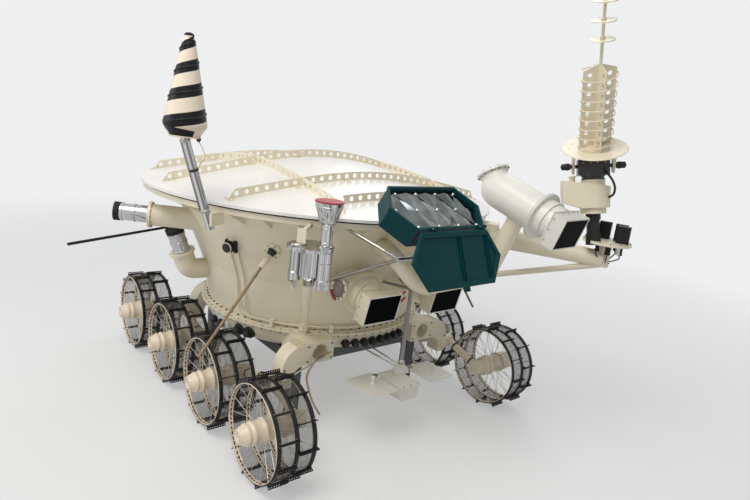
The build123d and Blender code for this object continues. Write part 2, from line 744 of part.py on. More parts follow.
shaft = Pos(*shaft_at, plate_z - 130) * Cylinder(
    shaft_dia / 2, 135, align=(Align.CENTER, Align.CENTER, Align.MIN))
plate = Pos(*shaft_at, plate_z) * Cylinder(
    plate_radius, plate_thick, align=(Align.CENTER, Align.CENTER, Align.MIN))
arm_foot = Vector(*shaft_at, 700)
arm_way = Vector(*arm_root) - arm_foot
arm_cone = turned([(44, 0), (60, arm_way.length)], Plane(origin=arm_foot, z_dir=arm_way))
arm_bracket = Pos(535, -907, 722) * Rot(0, 0, -59.5) * Box(150, 96, 136)
arm_strut = rod((*shaft_at, 672), (420, -800, 430), 34)
pedestal = shaft.fuse(plate, arm_cone, arm_bracket, arm_strut) - hull_tub.part - rim_ring.part - pipe
keep("antenna_pedestal", pedestal)

# x, y and turn of a finned box on the plate
box_rows = [(865, -1560, 20), (915, -1520, 20), (900, -1435, 20)]
box_size = (34, 62, 92)
fin_pitch = 12.0
boxes = []
for x, y, turn in box_rows:
    case = Box(*box_size, align=(Align.CENTER, Align.CENTER, Align.MIN))
    for i in range(-2, 3):
        case -= Pos(-box_size[0] / 2, i * fin_pitch, box_size[2] / 2) * Box(10, 5, box_size[2] - 10)
    boxes.append(Pos(x, y, plate_z + plate_thick) * Rot(0, 0, turn) * case)
motor = turned([(motor_dia / 2, 130), (motor_dia / 2, 190), (motor_dia / 2 - 5, 192), (motor_dia / 2 - 5, 262),
                (motor_dia / 2, 264), (motor_dia / 2, motor_top)], mast)
keep("antenna_boxes", Compound(children=[motor - pedestal] + boxes))

gimbal_s = 545.0
collar_dia = 132.0
fairing_round = 84.0
fairing_reach = 155.0
fairing_low = 325.0
fairing_high = 486.0
block_size = (156.0, 84.0, 82.0)
gimbal_pin_dia = 20.0
yoke_apart = 100.0
yoke_thick = 12.0
knob_dia = 34.0
with BuildPart() as fairing:
    with BuildSketch(Plane.XY.offset(fairing_low)):
        with BuildLine():
            Line((-fairing_reach, -fairing_round * 0.8), (0, -fairing_round))
            ThreePointArc((0, -fairing_round), (fairing_round, 0), (0, fairing_round))
            Line((0, fairing_round), (-fairing_reach, fairing_round * 0.8))
            Line((-fairing_reach, fairing_round * 0.8), (-fairing_reach, -fairing_round * 0.8))
        make_face()
    extrude(amount=fairing_high - fairing_low, taper=-2)
    with BuildSketch(Plane.XZ):
        with BuildLine():
            Polyline((-260, fairing_high), (160, fairing_high - 62), (160, fairing_high + 40),
                     (-260, fairing_high + 40), close=True)
        make_face()
    extrude(amount=200, both=True, mode=Mode.SUBTRACT)
    with BuildSketch(Plane.XZ):
        with BuildLine():
            Polyline((-260, fairing_low - 10), (-50, fairing_low - 10), (-60, fairing_low), (-260, fairing_low + 62),
                     close=True)
        make_face()
    extrude(amount=200, both=True, mode=Mode.SUBTRACT)
collar = turned([(collar_dia / 2, motor_top + seat_gap), (collar_dia / 2, fairing_low + 4)], Plane.XY)
neck = turned([(60, fairing_low + 40), (60, 478), (56, 480), (56, 488), (60, 490), (60, 500)], Plane.XY)
drive_block = Pos(0, 0, gimbal_s - 8) * Box(*block_size)
pin_body = Pos(0, 0, gimbal_s) * Rot(0, 90, 0) * Cylinder(gimbal_pin_dia / 2, 2 * yoke_apart + 60)
knobs = [Pos(side * (yoke_apart + 36), 0, gimbal_s) * Rot(0, 90, 0) * Cylinder(knob_dia / 2, 44)
         for side in (-1, 1)]
turntable = fairing.part.fuse(collar, neck, drive_block, pin_body, *knobs)
keep("antenna_turntable", mast.location * turntable)

# Head: dish on two yoke plates, crossed fins with round holes, rod with small discs
dish_radius = 165.0
dish_s = 88.0
fin_radius = 82.0
fin_thick = 4.0
fin_low = 118.0
fin_high = 505.0
fin_peak = 532.0
fin_hole_dia = 22.0
fin_hole_radius = 49.0
fin_hole_rows = 8
fin_turn = 14.0
rod_dia = 15.0
disc_radius = 59.0
disc_thick = 5.0
disc_rows = (640.0, 726.0, 812.0)
head = Plane(origin=mast.from_local_coords((0, 0, gimbal_s)), x_dir=pin_line, z_dir=head_up)
dish = turned([(40, dish_s - 10), (40, dish_s - 4), (dish_radius - 6, dish_s + 8), (dish_radius, dish_s + 12),
               (dish_radius - 4, dish_s + 17), (48, dish_s + 15), (40, fin_low)])
head_parts = [turned([(rod_dia / 2, fin_low - 10), (rod_dia / 2, disc_rows[-1] + 24)])]
for side in (-1, 1):
    with BuildPart() as yoke:
        with BuildSketch(Plane.YZ.offset(side * yoke_apart)):
            with BuildLine():
                Polyline((-44, dish_s + 6), (44, dish_s + 6), (26, 20), (26, -14), (10, -34), (-22, -34),
                         (-30, -14), (-30, 20), close=True)
            make_face()
            Circle(gimbal_pin_dia / 2 + shaft_clear, mode=Mode.SUBTRACT)
        extrude(amount=yoke_thick / 2, both=True)
    head_parts.append(yoke.part)
hole_pitch = (fin_high - fin_low) / fin_hole_rows
for turn in (0, 90, 180, 270):
    with BuildPart() as fin:
        with BuildSketch(Plane.XZ):
            with BuildLine():
                Polyline((0, fin_low - 10), (fin_radius, fin_low - 10), (fin_radius, fin_high), (0, fin_peak), close=True)
            make_face()
            for i in range(fin_hole_rows):
                with Locations((fin_hole_radius, fin_low + hole_pitch * (i + 0.5))):
                    Circle(fin_hole_dia / 2, mode=Mode.SUBTRACT)
        extrude(amount=fin_thick / 2, both=True)
    head_parts.append(Rot(0, 0, turn + fin_turn) * fin.part)
head_parts += [turned([(disc_radius, z), (disc_radius, z + disc_thick)]) for z in disc_rows]
keep("antenna_head", head.location * dish.fuse(*head_parts))

# Panoramic cameras on each side of the hull: one lies outward, one stands upright
pan_dia = 118.0
pan_barrel_dia = 92.0
pan_bend = 66.0
pan_rows = [
    # foot on the hull's axis side, knee, top of the barrel, share of the last run that is tube
    ((-tub_at(640) + 110, -40, 640), (-tub_at(640) - 90, 75, 648), (-tub_at(640) - 355, 228, 658), 0.42),
    ((-tub_at(330) + 2, 120, 330), (-tub_neck_radius + 10, 120, 330), (-tub_neck_radius - 82, 120, 575), 0.46),
]
tubes = []
barrels = []
caps = []
for foot_at, knee, tip, share in pan_rows:
    b = Vector(*knee)
    c = Vector(*tip)
    neck = b + (c - b) * share
    cap_at = b + (c - b) * 0.9
    with BuildPart() as elbow:
        with BuildLine() as route:
            FilletPolyline(foot_at, knee, neck, radius=pan_bend)
        with BuildSketch(Plane(origin=route.line @ 0, z_dir=route.line % 0)):
            Circle(pan_dia / 2)
        sweep()
        with BuildSketch(Plane(origin=neck, z_dir=b - c)):
            Circle(pan_dia / 2 + 12)
        extrude(amount=14)
    tubes.append(elbow.part - hull_tub.part)
    barrels.append(rod(tuple(neck), tuple(cap_at), pan_barrel_dia))
    caps.append(rod(tuple(cap_at), tip, pan_barrel_dia + 8))


def both_sides(pieces):
    """The pieces of one side and their mirror images on the other."""
    return pieces + [mirror(p, about=Plane.YZ) for p in pieces]


tubes = both_sides(tubes)
keep("pan_camera_tubes", Compound(children=tubes))
keep("pan_camera_barrels", Compound(children=both_sides(barrels)))
keep("pan_camera_caps", Compound(children=both_sides(caps)))

# Photometer: round plate on a box and two canisters, a funnel with a cap, on a tapered strut
meter_at = polar(rim_radius + 107, -125.85, 713)
meter_turn = -41.0
meter_plate_radius = 105.0
canister_x = 64.0
meter = Plane(origin=meter_at, x_dir=(cos(radians(meter_turn)), sin(radians(meter_turn)), 0), z_dir=(0, 0, 1))
body_parts = [
    turned([(meter_plate_radius, 0), (meter_plate_radius, 12), (meter_plate_radius - 3, 14)]),
    Pos(canister_x, 0, 0) * turned([(36, -178), (40, -176), (40, -158), (37, -156), (40, -154), (40, -140),
                                    (36, -136), (36, 4)]),
    Pos(-canister_x, 0, 0) * turned([(8, -196), (10, -158), (22, -156), (29, -148), (29, -112), (26, -108), (26, 4)]),
    Pos(0, 0, -62) * Box(74, 64, 126),
    Pos(-canister_x + 8, 0, 0) * turned([(40, 10), (40, 18), (38, 20)]),
    Pos(canister_x + 2, 0, 0) * turned([(34, 10), (34, 18), (26, 22), (26, 112), (30, 118), (38, 124), (60, 190),
                                        (62, 200), (62, 212)]),
]
meter_body = meter.location * body_parts[0].fuse(*body_parts[1:])
strut_top = Vector(*meter_at) + Vector(0, 0, -150)
strut_foot = Vector(*polar(tub_foot_radius + 20, -125.85, flange_z + flange_thick))
strut_way = strut_foot - strut_top
meter_strut = turned([(21, -40), (21, strut_way.length * 0.35), (13, strut_way.length * 0.8),
                      (13, strut_way.length - 3)], Plane(origin=strut_top, z_dir=strut_way))
meter_ear = meter.location * Pos(-44, 0, 46) * Box(40, 10, 76)
meter_arm = rod(tuple(meter.from_local_coords((-44, 0, 70))), polar(rim_radius - 30, -125.85, rim_z + 6), 20)
body = meter_body.fuse(meter_strut, meter_ear, meter_arm)
keep("photometer", body - belly_flange.part - belly_pan.part - hull_tub.part - rim_ring.part)
cap_plane = Plane(origin=meter.from_local_coords((canister_x + 2, 0, 0)))
keep("photometer_cap", turned([(64, 212.3), (65, 215), (65, 219), (60, 221)], cap_plane))

# Soil spectrometer on a rod below the front: box, overhanging lid, pyramid bracket, cross bar and two flaps
probe_x = -30.0
probe_top = -50.0
rod_foot = (35.0, -880.0)
lid_plate = Pos(probe_x, -945, probe_top - 4) * Box(128, 206, 8)
case = Pos(probe_x, -945, probe_top - 42) * Box(112, 188, 76)
with BuildPart() as rod_bracket:
    with BuildSketch(Plane.XY.offset(probe_top - 4)):
        with Locations(rod_foot):
            Rectangle(84, 64)
    with BuildSketch(Plane.XY.offset(probe_top + 46)):
        with Locations(rod_foot):
            Rectangle(30, 30)
    loft()
cross_bar = Pos(-15, -862, probe_top) * Box(300, 14, 12)
flaps = [Pos(x, y, probe_top - 2) * Box(wide, long, 4) for x, y, wide, long in
         ((-218, -935, 176, 226), (188, -952, 184, 206))]
hang = rod((*rod_foot, probe_top + 30), (*rod_foot, 450), 22)
tie_end = tub_at(450)
ties = [rod((*rod_foot, 430), (rod_foot[0] + x, -tie_end + 20, 430), 16) for x in (-70, 70)]
stays = [rod((22, -868, probe_top + 22), (-80, -600, 26), 8), rod((40, -862, probe_top + 30), (-20, -600, 26), 8)]
probe = case.fuse(lid_plate, rod_bracket.part, cross_bar, *flaps, hang, *ties, *stays)
keep("spectrometer", probe - belly_pan.part - belly_flange.part - hull_tub.part)

# Whip antennas, two on each side
whip_rows = [((-590, -500, 610), (-1000, -545, 90), 15), ((-690, 290, 565), (-1470, -140, 580), 14)]
whips = []
for sx in (1, -1):
    for root, tip, dia in whip_rows:
        whip = rod((root[0] * sx, root[1], root[2]), (tip[0] * sx, tip[1], tip[2]), dia)
        clamp_at = [root[i] + (tip[i] - root[i]) * 0.2 for i in range(3)]
        clamp = rod((root[0] * sx, root[1], root[2]), (clamp_at[0] * sx, clamp_at[1], clamp_at[2]), dia + 14)
        whips.append(whip.fuse(clamp) - hull_tub.part)
keep("whip_antennas", Compound(children=[whips[0], whips[2]]))
keep("side_whips", Compound(children=[whips[1] - tubes[0], whips[3] - tubes[2]]))

# Black plugs in a row round the pan's shoulder
plug_angles = [-106, -101, -96, -91, -86, -81, -76, -71, -154, -160, -172, -178, -26, -20, -8, -2]
plugs = []
for angle in plug_angles:
    out = (cos(radians(angle)), sin(radians(angle)))
    plug = rod((out[0] * 620, out[1] * 620, 68), (out[0] * 690, out[1] * 690, 56), 38)
    plugs.append(plug - belly_pan.part)
keep("connectors", Compound(children=plugs))

# Cables from a socket on the tub's right side, down to the flange and forward along it
cable_dia = 9.0
cable_bend = 24.0
socket_angle = -158.0
socket_z = 575.0
cable_z = tub_foot_z + 12
socket_place = Plane(origin=polar(tub_at(socket_z) - 12, socket_angle, socket_z),
                     z_dir=(cos(radians(socket_angle)), sin(radians(socket_angle)), -0.2))
socket = turned([(38, 0), (38, 26), (28, 30), (28, 58), (24, 62)], socket_place)
# distance from the tub's foot, last angle, height over the first cable
cable_rows = [(14, -100, 0, -2.0), (26, -100, 12, 2.0)]
harness = [socket]
for out, last, rise, side in cable_rows:
    ring = tub_foot_radius + out
    down = [polar(tub_at(z) + 8, socket_angle + side, z) for z in (socket_z - 20, 390)]
    run = [polar(ring, angle, cable_z + rise) for angle in range(int(socket_angle) + 4, last + 1, 9)]
    with BuildPart() as cable:
        with BuildLine() as route:
            FilletPolyline(*down, polar(tub_at(190) + 12, socket_angle + side, 190), *run, radius=cable_bend)
        with BuildSketch(Plane(origin=route.line @ 0, z_dir=route.line % 0)):
            Circle(cable_dia / 2)
        sweep()
    harness.append(cable.part)
clips = [Pos(*polar(tub_foot_radius + 16, angle, cable_z + 2)) * Rot(0, 0, angle) * Box(44, 22, 40)
         for angle in (-142, -128, -114)]
harness = harness[0].fuse(*harness[1:], *clips) - hull_tub.part - belly_flange.part
keep("hull_cables", harness)

# Heat source at the rear, a ribbed canister in a cradle
heat_at = (0.0, 960.0, 240.0)
heat = turned([(150, 0), (150, 20), (120, 24), (120, 300), (150, 304), (150, 324), (60, 350)],
              Plane(origin=heat_at))
carry = [rod((sx * 60, 600, 420), (sx * 60, 960, 420), 40) for sx in (-1, 1)]
keep("heat_source", heat.fuse(*carry) - hull_tub.part)

# Free wheel at the rear that measures the way, on an arm that lifts
free_dia = 330.0
free_y = 1180.0
arm_pivot = (0.0, 760.0, 20.0)
free_axle_z = ground_z + free_dia / 2
free_rows = [(-30, 6), (0, 10), (30, 6)]
free_parts = []
for x, thick in free_rows:
    with BuildPart() as band:
        with BuildSketch(Plane(origin=(x - thick / 2, free_y, free_axle_z), x_dir=(0, 1, 0), z_dir=(1, 0, 0))):
            Circle(free_dia / 2 - 12)
            Circle(free_dia / 2 - 20, mode=Mode.SUBTRACT)
        extrude(amount=thick)
    free_parts.append(band.part)
for i in range(16):
    blade = Pos(0, free_y, free_axle_z) * Rot(22.5 * i, 0, 0) * Pos(0, 0, free_dia / 2 - 8) * Box(72, 4, 16)
    free_parts.append(blade)
for i in range(8):
    blade = Pos(0, free_y, free_axle_z) * Rot(45 * i, 0, 0) * Pos(0, 0, free_dia / 4) * Box(4, 4, free_dia / 2 - 26)
    free_parts.append(blade)
free_hub = rod((-34, free_y, free_axle_z), (34, free_y, free_axle_z), 60, (0, 1, 0))
free_bore = rod((-40, free_y, free_axle_z), (40, free_y, free_axle_z), 20.1, (0, 1, 0))
keep("free_wheel", free_hub.fuse(*free_parts) - free_bore)
fork = [rod((sx * 52, arm_pivot[1], arm_pivot[2]), (sx * 52, free_y, free_axle_z), 26) for sx in (-1, 1)]
fork.append(rod((-60, free_y, free_axle_z), (60, free_y, free_axle_z), 20, (0, 1, 0)))
fork.append(rod((-66, arm_pivot[1], arm_pivot[2]), (66, arm_pivot[1], arm_pivot[2]), 40, (0, 1, 0)))
fork_bore = rod((-70, arm_pivot[1], arm_pivot[2]), (70, arm_pivot[1], arm_pivot[2]), 20.1, (0, 1, 0))
keep("free_wheel_arm", fork[0].fuse(*fork[1:]) - fork_bore)
ears = []
for sx in (-1, 1):
    ears.append(Pos(sx * 76, 690, 40) * Box(12, 190, 76))
ears.append(rod((-82, arm_pivot[1], arm_pivot[2]), (82, arm_pivot[1], arm_pivot[2]), 20, (0, 1, 0)))
keep("free_wheel_ears", ears[0].fuse(*ears[1:]) - belly_pan.part)

os.makedirs("parts", exist_ok=True)
for name, part in PARTS.items():
    export_step(part, f"parts/{name}.step")
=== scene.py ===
"""Looks of the planetary rover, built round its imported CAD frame. Metres, in the frame of the CAD."""
from functools import partialmethod
from math import atan2, cos, hypot, pi, radians, sin, sqrt

import bmesh
import bpy
from mathutils import Matrix, Vector


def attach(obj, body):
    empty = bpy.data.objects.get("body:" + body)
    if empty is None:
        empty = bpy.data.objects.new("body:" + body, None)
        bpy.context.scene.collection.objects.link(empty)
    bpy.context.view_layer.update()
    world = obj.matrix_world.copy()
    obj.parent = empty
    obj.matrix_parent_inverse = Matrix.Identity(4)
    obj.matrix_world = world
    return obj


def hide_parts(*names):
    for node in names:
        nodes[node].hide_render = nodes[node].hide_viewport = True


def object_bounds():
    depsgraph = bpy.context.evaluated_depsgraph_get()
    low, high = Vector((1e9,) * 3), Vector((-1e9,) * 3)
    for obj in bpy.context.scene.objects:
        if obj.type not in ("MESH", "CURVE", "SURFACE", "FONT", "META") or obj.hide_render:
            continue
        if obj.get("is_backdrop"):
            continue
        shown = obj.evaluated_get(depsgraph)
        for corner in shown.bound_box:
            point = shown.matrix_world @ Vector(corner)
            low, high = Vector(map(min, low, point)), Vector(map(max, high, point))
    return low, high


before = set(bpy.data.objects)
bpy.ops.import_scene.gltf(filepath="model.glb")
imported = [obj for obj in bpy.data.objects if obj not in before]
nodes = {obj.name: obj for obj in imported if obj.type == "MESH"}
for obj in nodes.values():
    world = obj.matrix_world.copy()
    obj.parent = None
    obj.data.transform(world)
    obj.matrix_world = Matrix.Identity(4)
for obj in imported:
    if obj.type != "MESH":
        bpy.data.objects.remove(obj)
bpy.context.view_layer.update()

ORIGIN = (0.0, 0.0, 0.0)
UP = (0, 0, 1)
DOWN = (0, 0, -1)
GROUND = -0.390
HERE = Matrix.Identity(4)
shift = Matrix.Translation


def spun(angle, axis="Z"):
    return Matrix.Rotation(angle, 4, axis)


def in_scene(name, data, place=HERE):
    """A new object in the scene."""
    thing = bpy.data.objects.new(name, data)
    bpy.context.scene.collection.objects.link(thing)
    thing.matrix_world = place
    return thing


# Camera, fitted to the photograph
CAMERA_AT = (-2.066, -2.971, 1.315)
CAMERA_YAW = 40.92
CAMERA_PITCH = 13.21
CAMERA_ROLL = 6.70
CAMERA_LENS = 27.48

yaw, pitch, roll = (radians(a) for a in (CAMERA_YAW, CAMERA_PITCH, CAMERA_ROLL))
ahead = Vector((sin(yaw) * cos(pitch), cos(yaw) * cos(pitch), -sin(pitch)))
level = ahead.cross(Vector(UP)).normalized()
upward = level.cross(ahead)
right = cos(roll) * level + sin(roll) * upward
upward = -sin(roll) * level + cos(roll) * upward
camera_data = bpy.data.cameras.new("camera")
camera_data.lens = CAMERA_LENS
camera_data.sensor_width = 36.0
camera_data.clip_start = 0.05
camera_data.clip_end = 60.0
turned_to = Matrix((right, upward, -ahead)).transposed().to_4x4()
bpy.context.scene.camera = in_scene("camera", camera_data, shift(CAMERA_AT) @ turned_to)


# Shader nodes
def feed(tree, value, socket):
    """Links a socket to an output or a term, or sets it to a constant."""
    value = getattr(value, "out", value)
    if isinstance(value, bpy.types.NodeSocket):
        tree.links.new(value, socket)
    elif socket.type == "RGBA":
        socket.default_value = (*value, 1.0)
    else:
        socket.default_value = value


def add_node(tree, kind, values=(), **settings):
    """Adds a node with settings and fed inputs, and gives its outputs."""
    node = tree.nodes.new("ShaderNode" + kind)
    for name, value in settings.items():
        setattr(node, name, value)
    for name, value in dict(values).items():
        feed(tree, value, node.inputs[name])
    return node.outputs


class Term:
    """A number worked out at each place, with arithmetic that adds the nodes for it."""

    def __init__(self, tree, out):
        self.tree = tree
        self.out = out

    def op(self, kind, other=0.0):
        return Term(self.tree, add_node(self.tree, "Math", {0: self, 1: other}, operation=kind)["Value"])

    __add__ = partialmethod(op, "ADD")
    __sub__ = partialmethod(op, "SUBTRACT")
    __mul__ = partialmethod(op, "MULTIPLY")
    __truediv__ = partialmethod(op, "DIVIDE")
    __lt__ = partialmethod(op, "LESS_THAN")
    __gt__ = partialmethod(op, "GREATER_THAN")

    def inverse(self):
        return Term(self.tree, add_node(self.tree, "Math", {0: 1.0, 1: self}, operation="SUBTRACT")["Value"])


class Finish:
    """A procedural material: its shader, and short ways to add nodes to it."""

    def __init__(self, name):
        self.mat = bpy.data.materials.new(name)
        self.mat.use_nodes = True
        self.tree = self.mat.node_tree
        self.shader = self.tree.nodes["Principled BSDF"]
        self.coords = self.node("TexCoord")["Object"]

    def node(self, kind, values=(), **settings):
        return add_node(self.tree, kind, values, **settings)

    def scaled(self, scale):
        return self.node("Mapping", {"Vector": self.coords, "Scale": scale})["Vector"]

    def noise(self, scale, detail=5.0, rough=0.6, vector=None):
        values = {"Scale": scale, "Detail": detail, "Roughness": rough, "Vector": vector or self.coords}
        return Term(self.tree, self.node("TexNoise", values)["Fac"])

    def ramp(self, factor, stops):
        node = self.tree.nodes.new("ShaderNodeValToRGB")
        marks = node.color_ramp.elements
        while len(marks) < len(stops):
            marks.new(0.5)
        for mark, (at, colour) in zip(marks, stops):
            mark.position = at
            mark.color = (*colour, 1.0)
        feed(self.tree, factor, node.inputs["Fac"])
        return node.outputs["Color"]

    def spread(self, factor, low, high, start=0.3, end=0.7):
        values = {"Value": factor, "From Min": start, "From Max": end, "To Min": low, "To Max": high}
        return Term(self.tree, self.node("MapRange", values)["Result"])

    def mixed(self, factor, first, second):
        return self.node("Mix", {"Factor": factor, "A": first, "B": second}, data_type="RGBA")["Result"]

    def bump(self, height, strength, distance):
        values = {"Strength": strength, "Distance": distance, "Height": height}
        self.plain(Normal=self.node("Bump", values)["Normal"])

    def colour(self, out):
        self.plain(Base_Color=out)

    def rough(self, out):
        self.plain(Roughness=out)

    def from_origin(self, origin):
        return self.node("VectorMath", {0: self.coords, 1: origin}, operation="SUBTRACT")["Vector"]

    def placed(self, origin):
        """x, y and z of a place, measured from an origin."""
        split = self.node("SeparateXYZ", {"Vector": self.from_origin(origin)})
        return [Term(self.tree, split[axis]) for axis in "XYZ"]

    def along(self, origin, line):
        """How far a place lies along a line from an origin."""
        values = {0: self.from_origin(origin), 1: line}
        return Term(self.tree, self.node("VectorMath", values, operation="DOT_PRODUCT")["Value"])

    def over(self, mask, colour):
        """Lays a colour over the base colour where the mask is 1."""
        below = self.shader.inputs["Base Color"].links[0].from_socket
        self.colour(self.mixed(mask, below, colour))

    def painted(self, mask, colour):
        """Lays paint over bare metal where the mask is 1."""
        self.over(mask, colour)
        self.plain(Metallic=mask.inverse())

    def dress(self, *names):
        """Gives the finish to CAD nodes."""
        for name in names:
            mesh = nodes[name].data
            mesh.materials.clear()
            mesh.materials.append(self.mat)

    def plain(self, **values):
        """Feeds the shader's own inputs."""
        for name, value in values.items():
            feed(self.tree, value, self.shader.inputs[name.replace("_", " ")])


def shade(colour, factor):
    """A colour made lighter or darker."""
    return tuple(min(1.0, c * factor) for c in colour)


def paint(name, colour, rough=(0.34, 0.5), coat=0.15, cloud=2.5, stain=0.86, relief=0.12, **more):
    """Brushed or sprayed paint: faint clouds, darker smudges, and an eggshell grain."""
    f = Finish(name)
    clouds = f.ramp(f.noise(cloud, 7.0, 0.62), [(0.34, shade(colour, 0.93)), (0.62, shade(colour, 1.03))])
    smudge = f.spread(f.noise(cloud * 5.3, 9.0, 0.72, f.scaled((1, 1, 0.45))), 0.0, 1.0, 0.6, 0.78)
    f.colour(f.mixed(smudge, clouds, shade(colour, stain)))
    f.rough(f.spread(f.noise(38.0, 6.0, 0.7), *rough))
    f.bump(f.noise(650.0, 3.0, 0.5), relief, 0.0006)
    f.plain(Coat_Weight=coat, Coat_Roughness=0.22, **more)
    return f


def metal(name, colour, rough=(0.2, 0.42), stretch=(1, 1, 1), relief=0.04):
    """Bare metal with drawn streaks and duller patches."""
    f = Finish(name)
    clouds = f.noise(9.0, 6.0, 0.6, f.scaled(stretch))
    f.colour(f.ramp(clouds, [(0.3, shade(colour, 0.82)), (0.7, shade(colour, 1.06))]))
    f.rough(f.spread(f.noise(60.0, 5.0, 0.7, f.scaled(stretch)), *rough))
    f.bump(f.noise(420.0, 2.0, 0.5, f.scaled(stretch)), relief, 0.0001)
    f.plain(Metallic=1.0)
    return f


def mottled(name, scale, colours, rough_scale, rough, detail=5.0):
    """A finish that wanders between two colours, with its own mottled roughness."""
    f = Finish(name)
    f.colour(f.ramp(f.noise(scale, detail), list(zip((0.3, 0.7), colours))))
    f.rough(f.spread(f.noise(rough_scale), *rough))
    return f


# Materials
CREAM = (0.81, 0.735, 0.565)
cream = paint("cream_paint", CREAM)
cream_hub = paint("hub_paint", (0.84, 0.71, 0.55), cloud=9.0, stain=0.8)
grey_white = paint("camera_paint", (0.77, 0.76, 0.70), rough=(0.28, 0.42), coat=0.25)
lid_gloss = paint("lid_gloss", (0.80, 0.785, 0.745), rough=(0.26, 0.36), coat=0.1, stain=0.95, relief=0.04)
white_enamel = paint("white_enamel", (0.82, 0.82, 0.79), rough=(0.3, 0.45))
black_paint = paint("black_paint", (0.012, 0.012, 0.013), rough=(0.35, 0.6), stain=1.5, coat=0.0, relief=0.25,
                    Specular_IOR_Level=0.3)
black_matte = paint("black_matte", (0.010, 0.010, 0.011), rough=(0.55, 0.8), stain=1.6, coat=0.0, relief=0.3,
                    Specular_IOR_Level=0.3)
teal = paint("teal_paint", (0.0004, 0.042, 0.048), rough=(0.34, 0.46), coat=0.0, stain=0.8,
             Specular_IOR_Level=0.12)
bolt_dark = paint("dark_bolts", (0.020, 0.019, 0.018), rough=(0.35, 0.55), stain=1.5, coat=0.0)
stand_paint = paint("stand_paint", (0.07, 0.078, 0.085), rough=(0.4, 0.6), stain=1.5)
dull_red = paint("dull_red", (0.36, 0.045, 0.055), rough=(0.4, 0.6), coat=0.0)
port_glass = paint("port_glass", (0.20, 0.165, 0.14), rough=(0.2, 0.35), coat=0.0, cloud=12.0)
steel = metal("grey_steel", (0.44, 0.43, 0.40))
bright = metal("bright_metal", (0.56, 0.56, 0.565), rough=(0.12, 0.26), stretch=(1, 1, 0.08), relief=0.0)
wire_metal = metal("wire_metal", (0.62, 0.59, 0.52), rough=(0.25, 0.4))
mesh_metal = metal("mesh_metal", (0.10, 0.095, 0.085), rough=(0.4, 0.6))
bronze = metal("bronze_pipe", (0.42, 0.31, 0.19), rough=(0.25, 0.45))

wood = Finish("brown_varnish")
wood.colour(wood.ramp(wood.noise(30.0, 8.0, 0.6, wood.scaled((6, 6, 0.6))),
                      [(0.3, (0.16, 0.09, 0.045)), (0.55, (0.33, 0.20, 0.10)), (0.8, (0.46, 0.32, 0.19))]))
wood.rough(wood.spread(wood.noise(90.0), 0.3, 0.5))
wood.bump(wood.noise(160.0, 4.0, 0.6, wood.scaled((3, 3, 0.4))), 0.2, 0.0005)

glass = mottled("window_glass", 3.0, ((0.0012, 0.0014, 0.0016), (0.003, 0.004, 0.0045)), 25.0, (0.03, 0.1))
glass.plain(Specular_IOR_Level=0.01)
mirror = mottled("quilted_mirror", 7.0, ((0.05, 0.06, 0.06), (0.24, 0.265, 0.26)), 30.0, (0.04, 0.16), 3.0)
mirror.plain(Metallic=1.0, Coat_Weight=0.3)
rubber = mottled("seal_rubber", 40.0, ((0.008, 0.008, 0.008), (0.02, 0.02, 0.021)), 90.0, (0.5, 0.75))
rubber.bump(rubber.noise(500.0), 0.3, 0.0005)

cells = Finish("cell_panel")
grid = cells.node("TexBrick", {
    "Vector": cells.coords, "Color1": (0.006, 0.010, 0.035), "Color2": (0.010, 0.014, 0.045),
    "Mortar": (0.22, 0.22, 0.21), "Scale": 1.0, "Mortar Size": 0.0012, "Brick Width": 0.040,
    "Row Height": 0.022}, offset=0.0)
cells.colour(grid["Color"])
cells.rough(cells.spread(cells.noise(20.0), 0.32, 0.45))
cells.bump(grid["Fac"], -0.3, 0.0004)
cells.plain(Specular_IOR_Level=0.25)

cream.dress("belly_pan", "belly_flange", "hull_tub", "rim_ring", "lid_ribs", "eye_cameras", "camera_pipe",
            "pan_camera_tubes", "antenna_pedestal", "antenna_head", "suspension_castings", "swing_arms",
            "lid_hinge_forks", "lid_knuckles", "heat_source", "free_wheel_ears", "free_wheel_arm",
            "hull_cables")
grey_white.dress("mast_camera")
lid_gloss.dress("lid_panel")
white_enamel.dress("radiator_deck")
cells.dress("solar_cells")
rubber.dress("lid_seal")
black_matte.dress("connectors", "pan_camera_caps", "side_whips")
black_paint.dress("antenna_boxes")
glass.dress("camera_windows")
teal.dress("reflector_box", "reflector_cover")
mirror.dress("reflector_prisms")
steel.dress("reflector_struts", "free_wheel")
bright.dress("pan_camera_barrels")
dull_red.dress("photometer_cap")
wood.dress("whip_antennas")
stand_paint.dress("display_stand")

# Cone antenna's paint: black bands that climb it as a screw, and a black wedge under them
CONE_FOOT = (-1.0984, -0.5302, 1.1312)
CONE_PITCH = 0.1155
STRIPE_AT = 0.077
STRIPE_TURN = radians(-112)
BAND_HALF = 0.235
CONE_EDGE = 0.0045
TIP_AT = 0.4115

stripes = paint("striped_paint", (0.80, 0.70, 0.57), rough=(0.3, 0.42), coat=0.0, stain=0.9,
                Specular_IOR_Level=0.2)
cone_x, cone_y, cone_h = stripes.placed(CONE_FOOT)
turn = cone_y.op("ARCTAN2", cone_x)
steps = (cone_h - STRIPE_AT) / CONE_PITCH
squared = steps * steps
steps = steps + squared * 0.0433 + squared * steps * 0.0055
phase = (steps - (turn - STRIPE_TURN) / (2 * pi) + 8.5).op("FRACT")
painted_cone = cone_h > CONE_EDGE
band = ((phase - 0.5).op("ABSOLUTE") < BAND_HALF) * painted_cone
facing = (turn < radians(-82)) + (turn > radians(120))
wedge = (cone_h < (turn - STRIPE_TURN) * -0.010 + 0.035) * facing * painted_cone
dark = band.op("MAXIMUM", wedge.op("MAXIMUM", cone_h > TIP_AT))
stripes.over(dark, (0.006, 0.006, 0.008))
stripes.dress("cone_antenna")

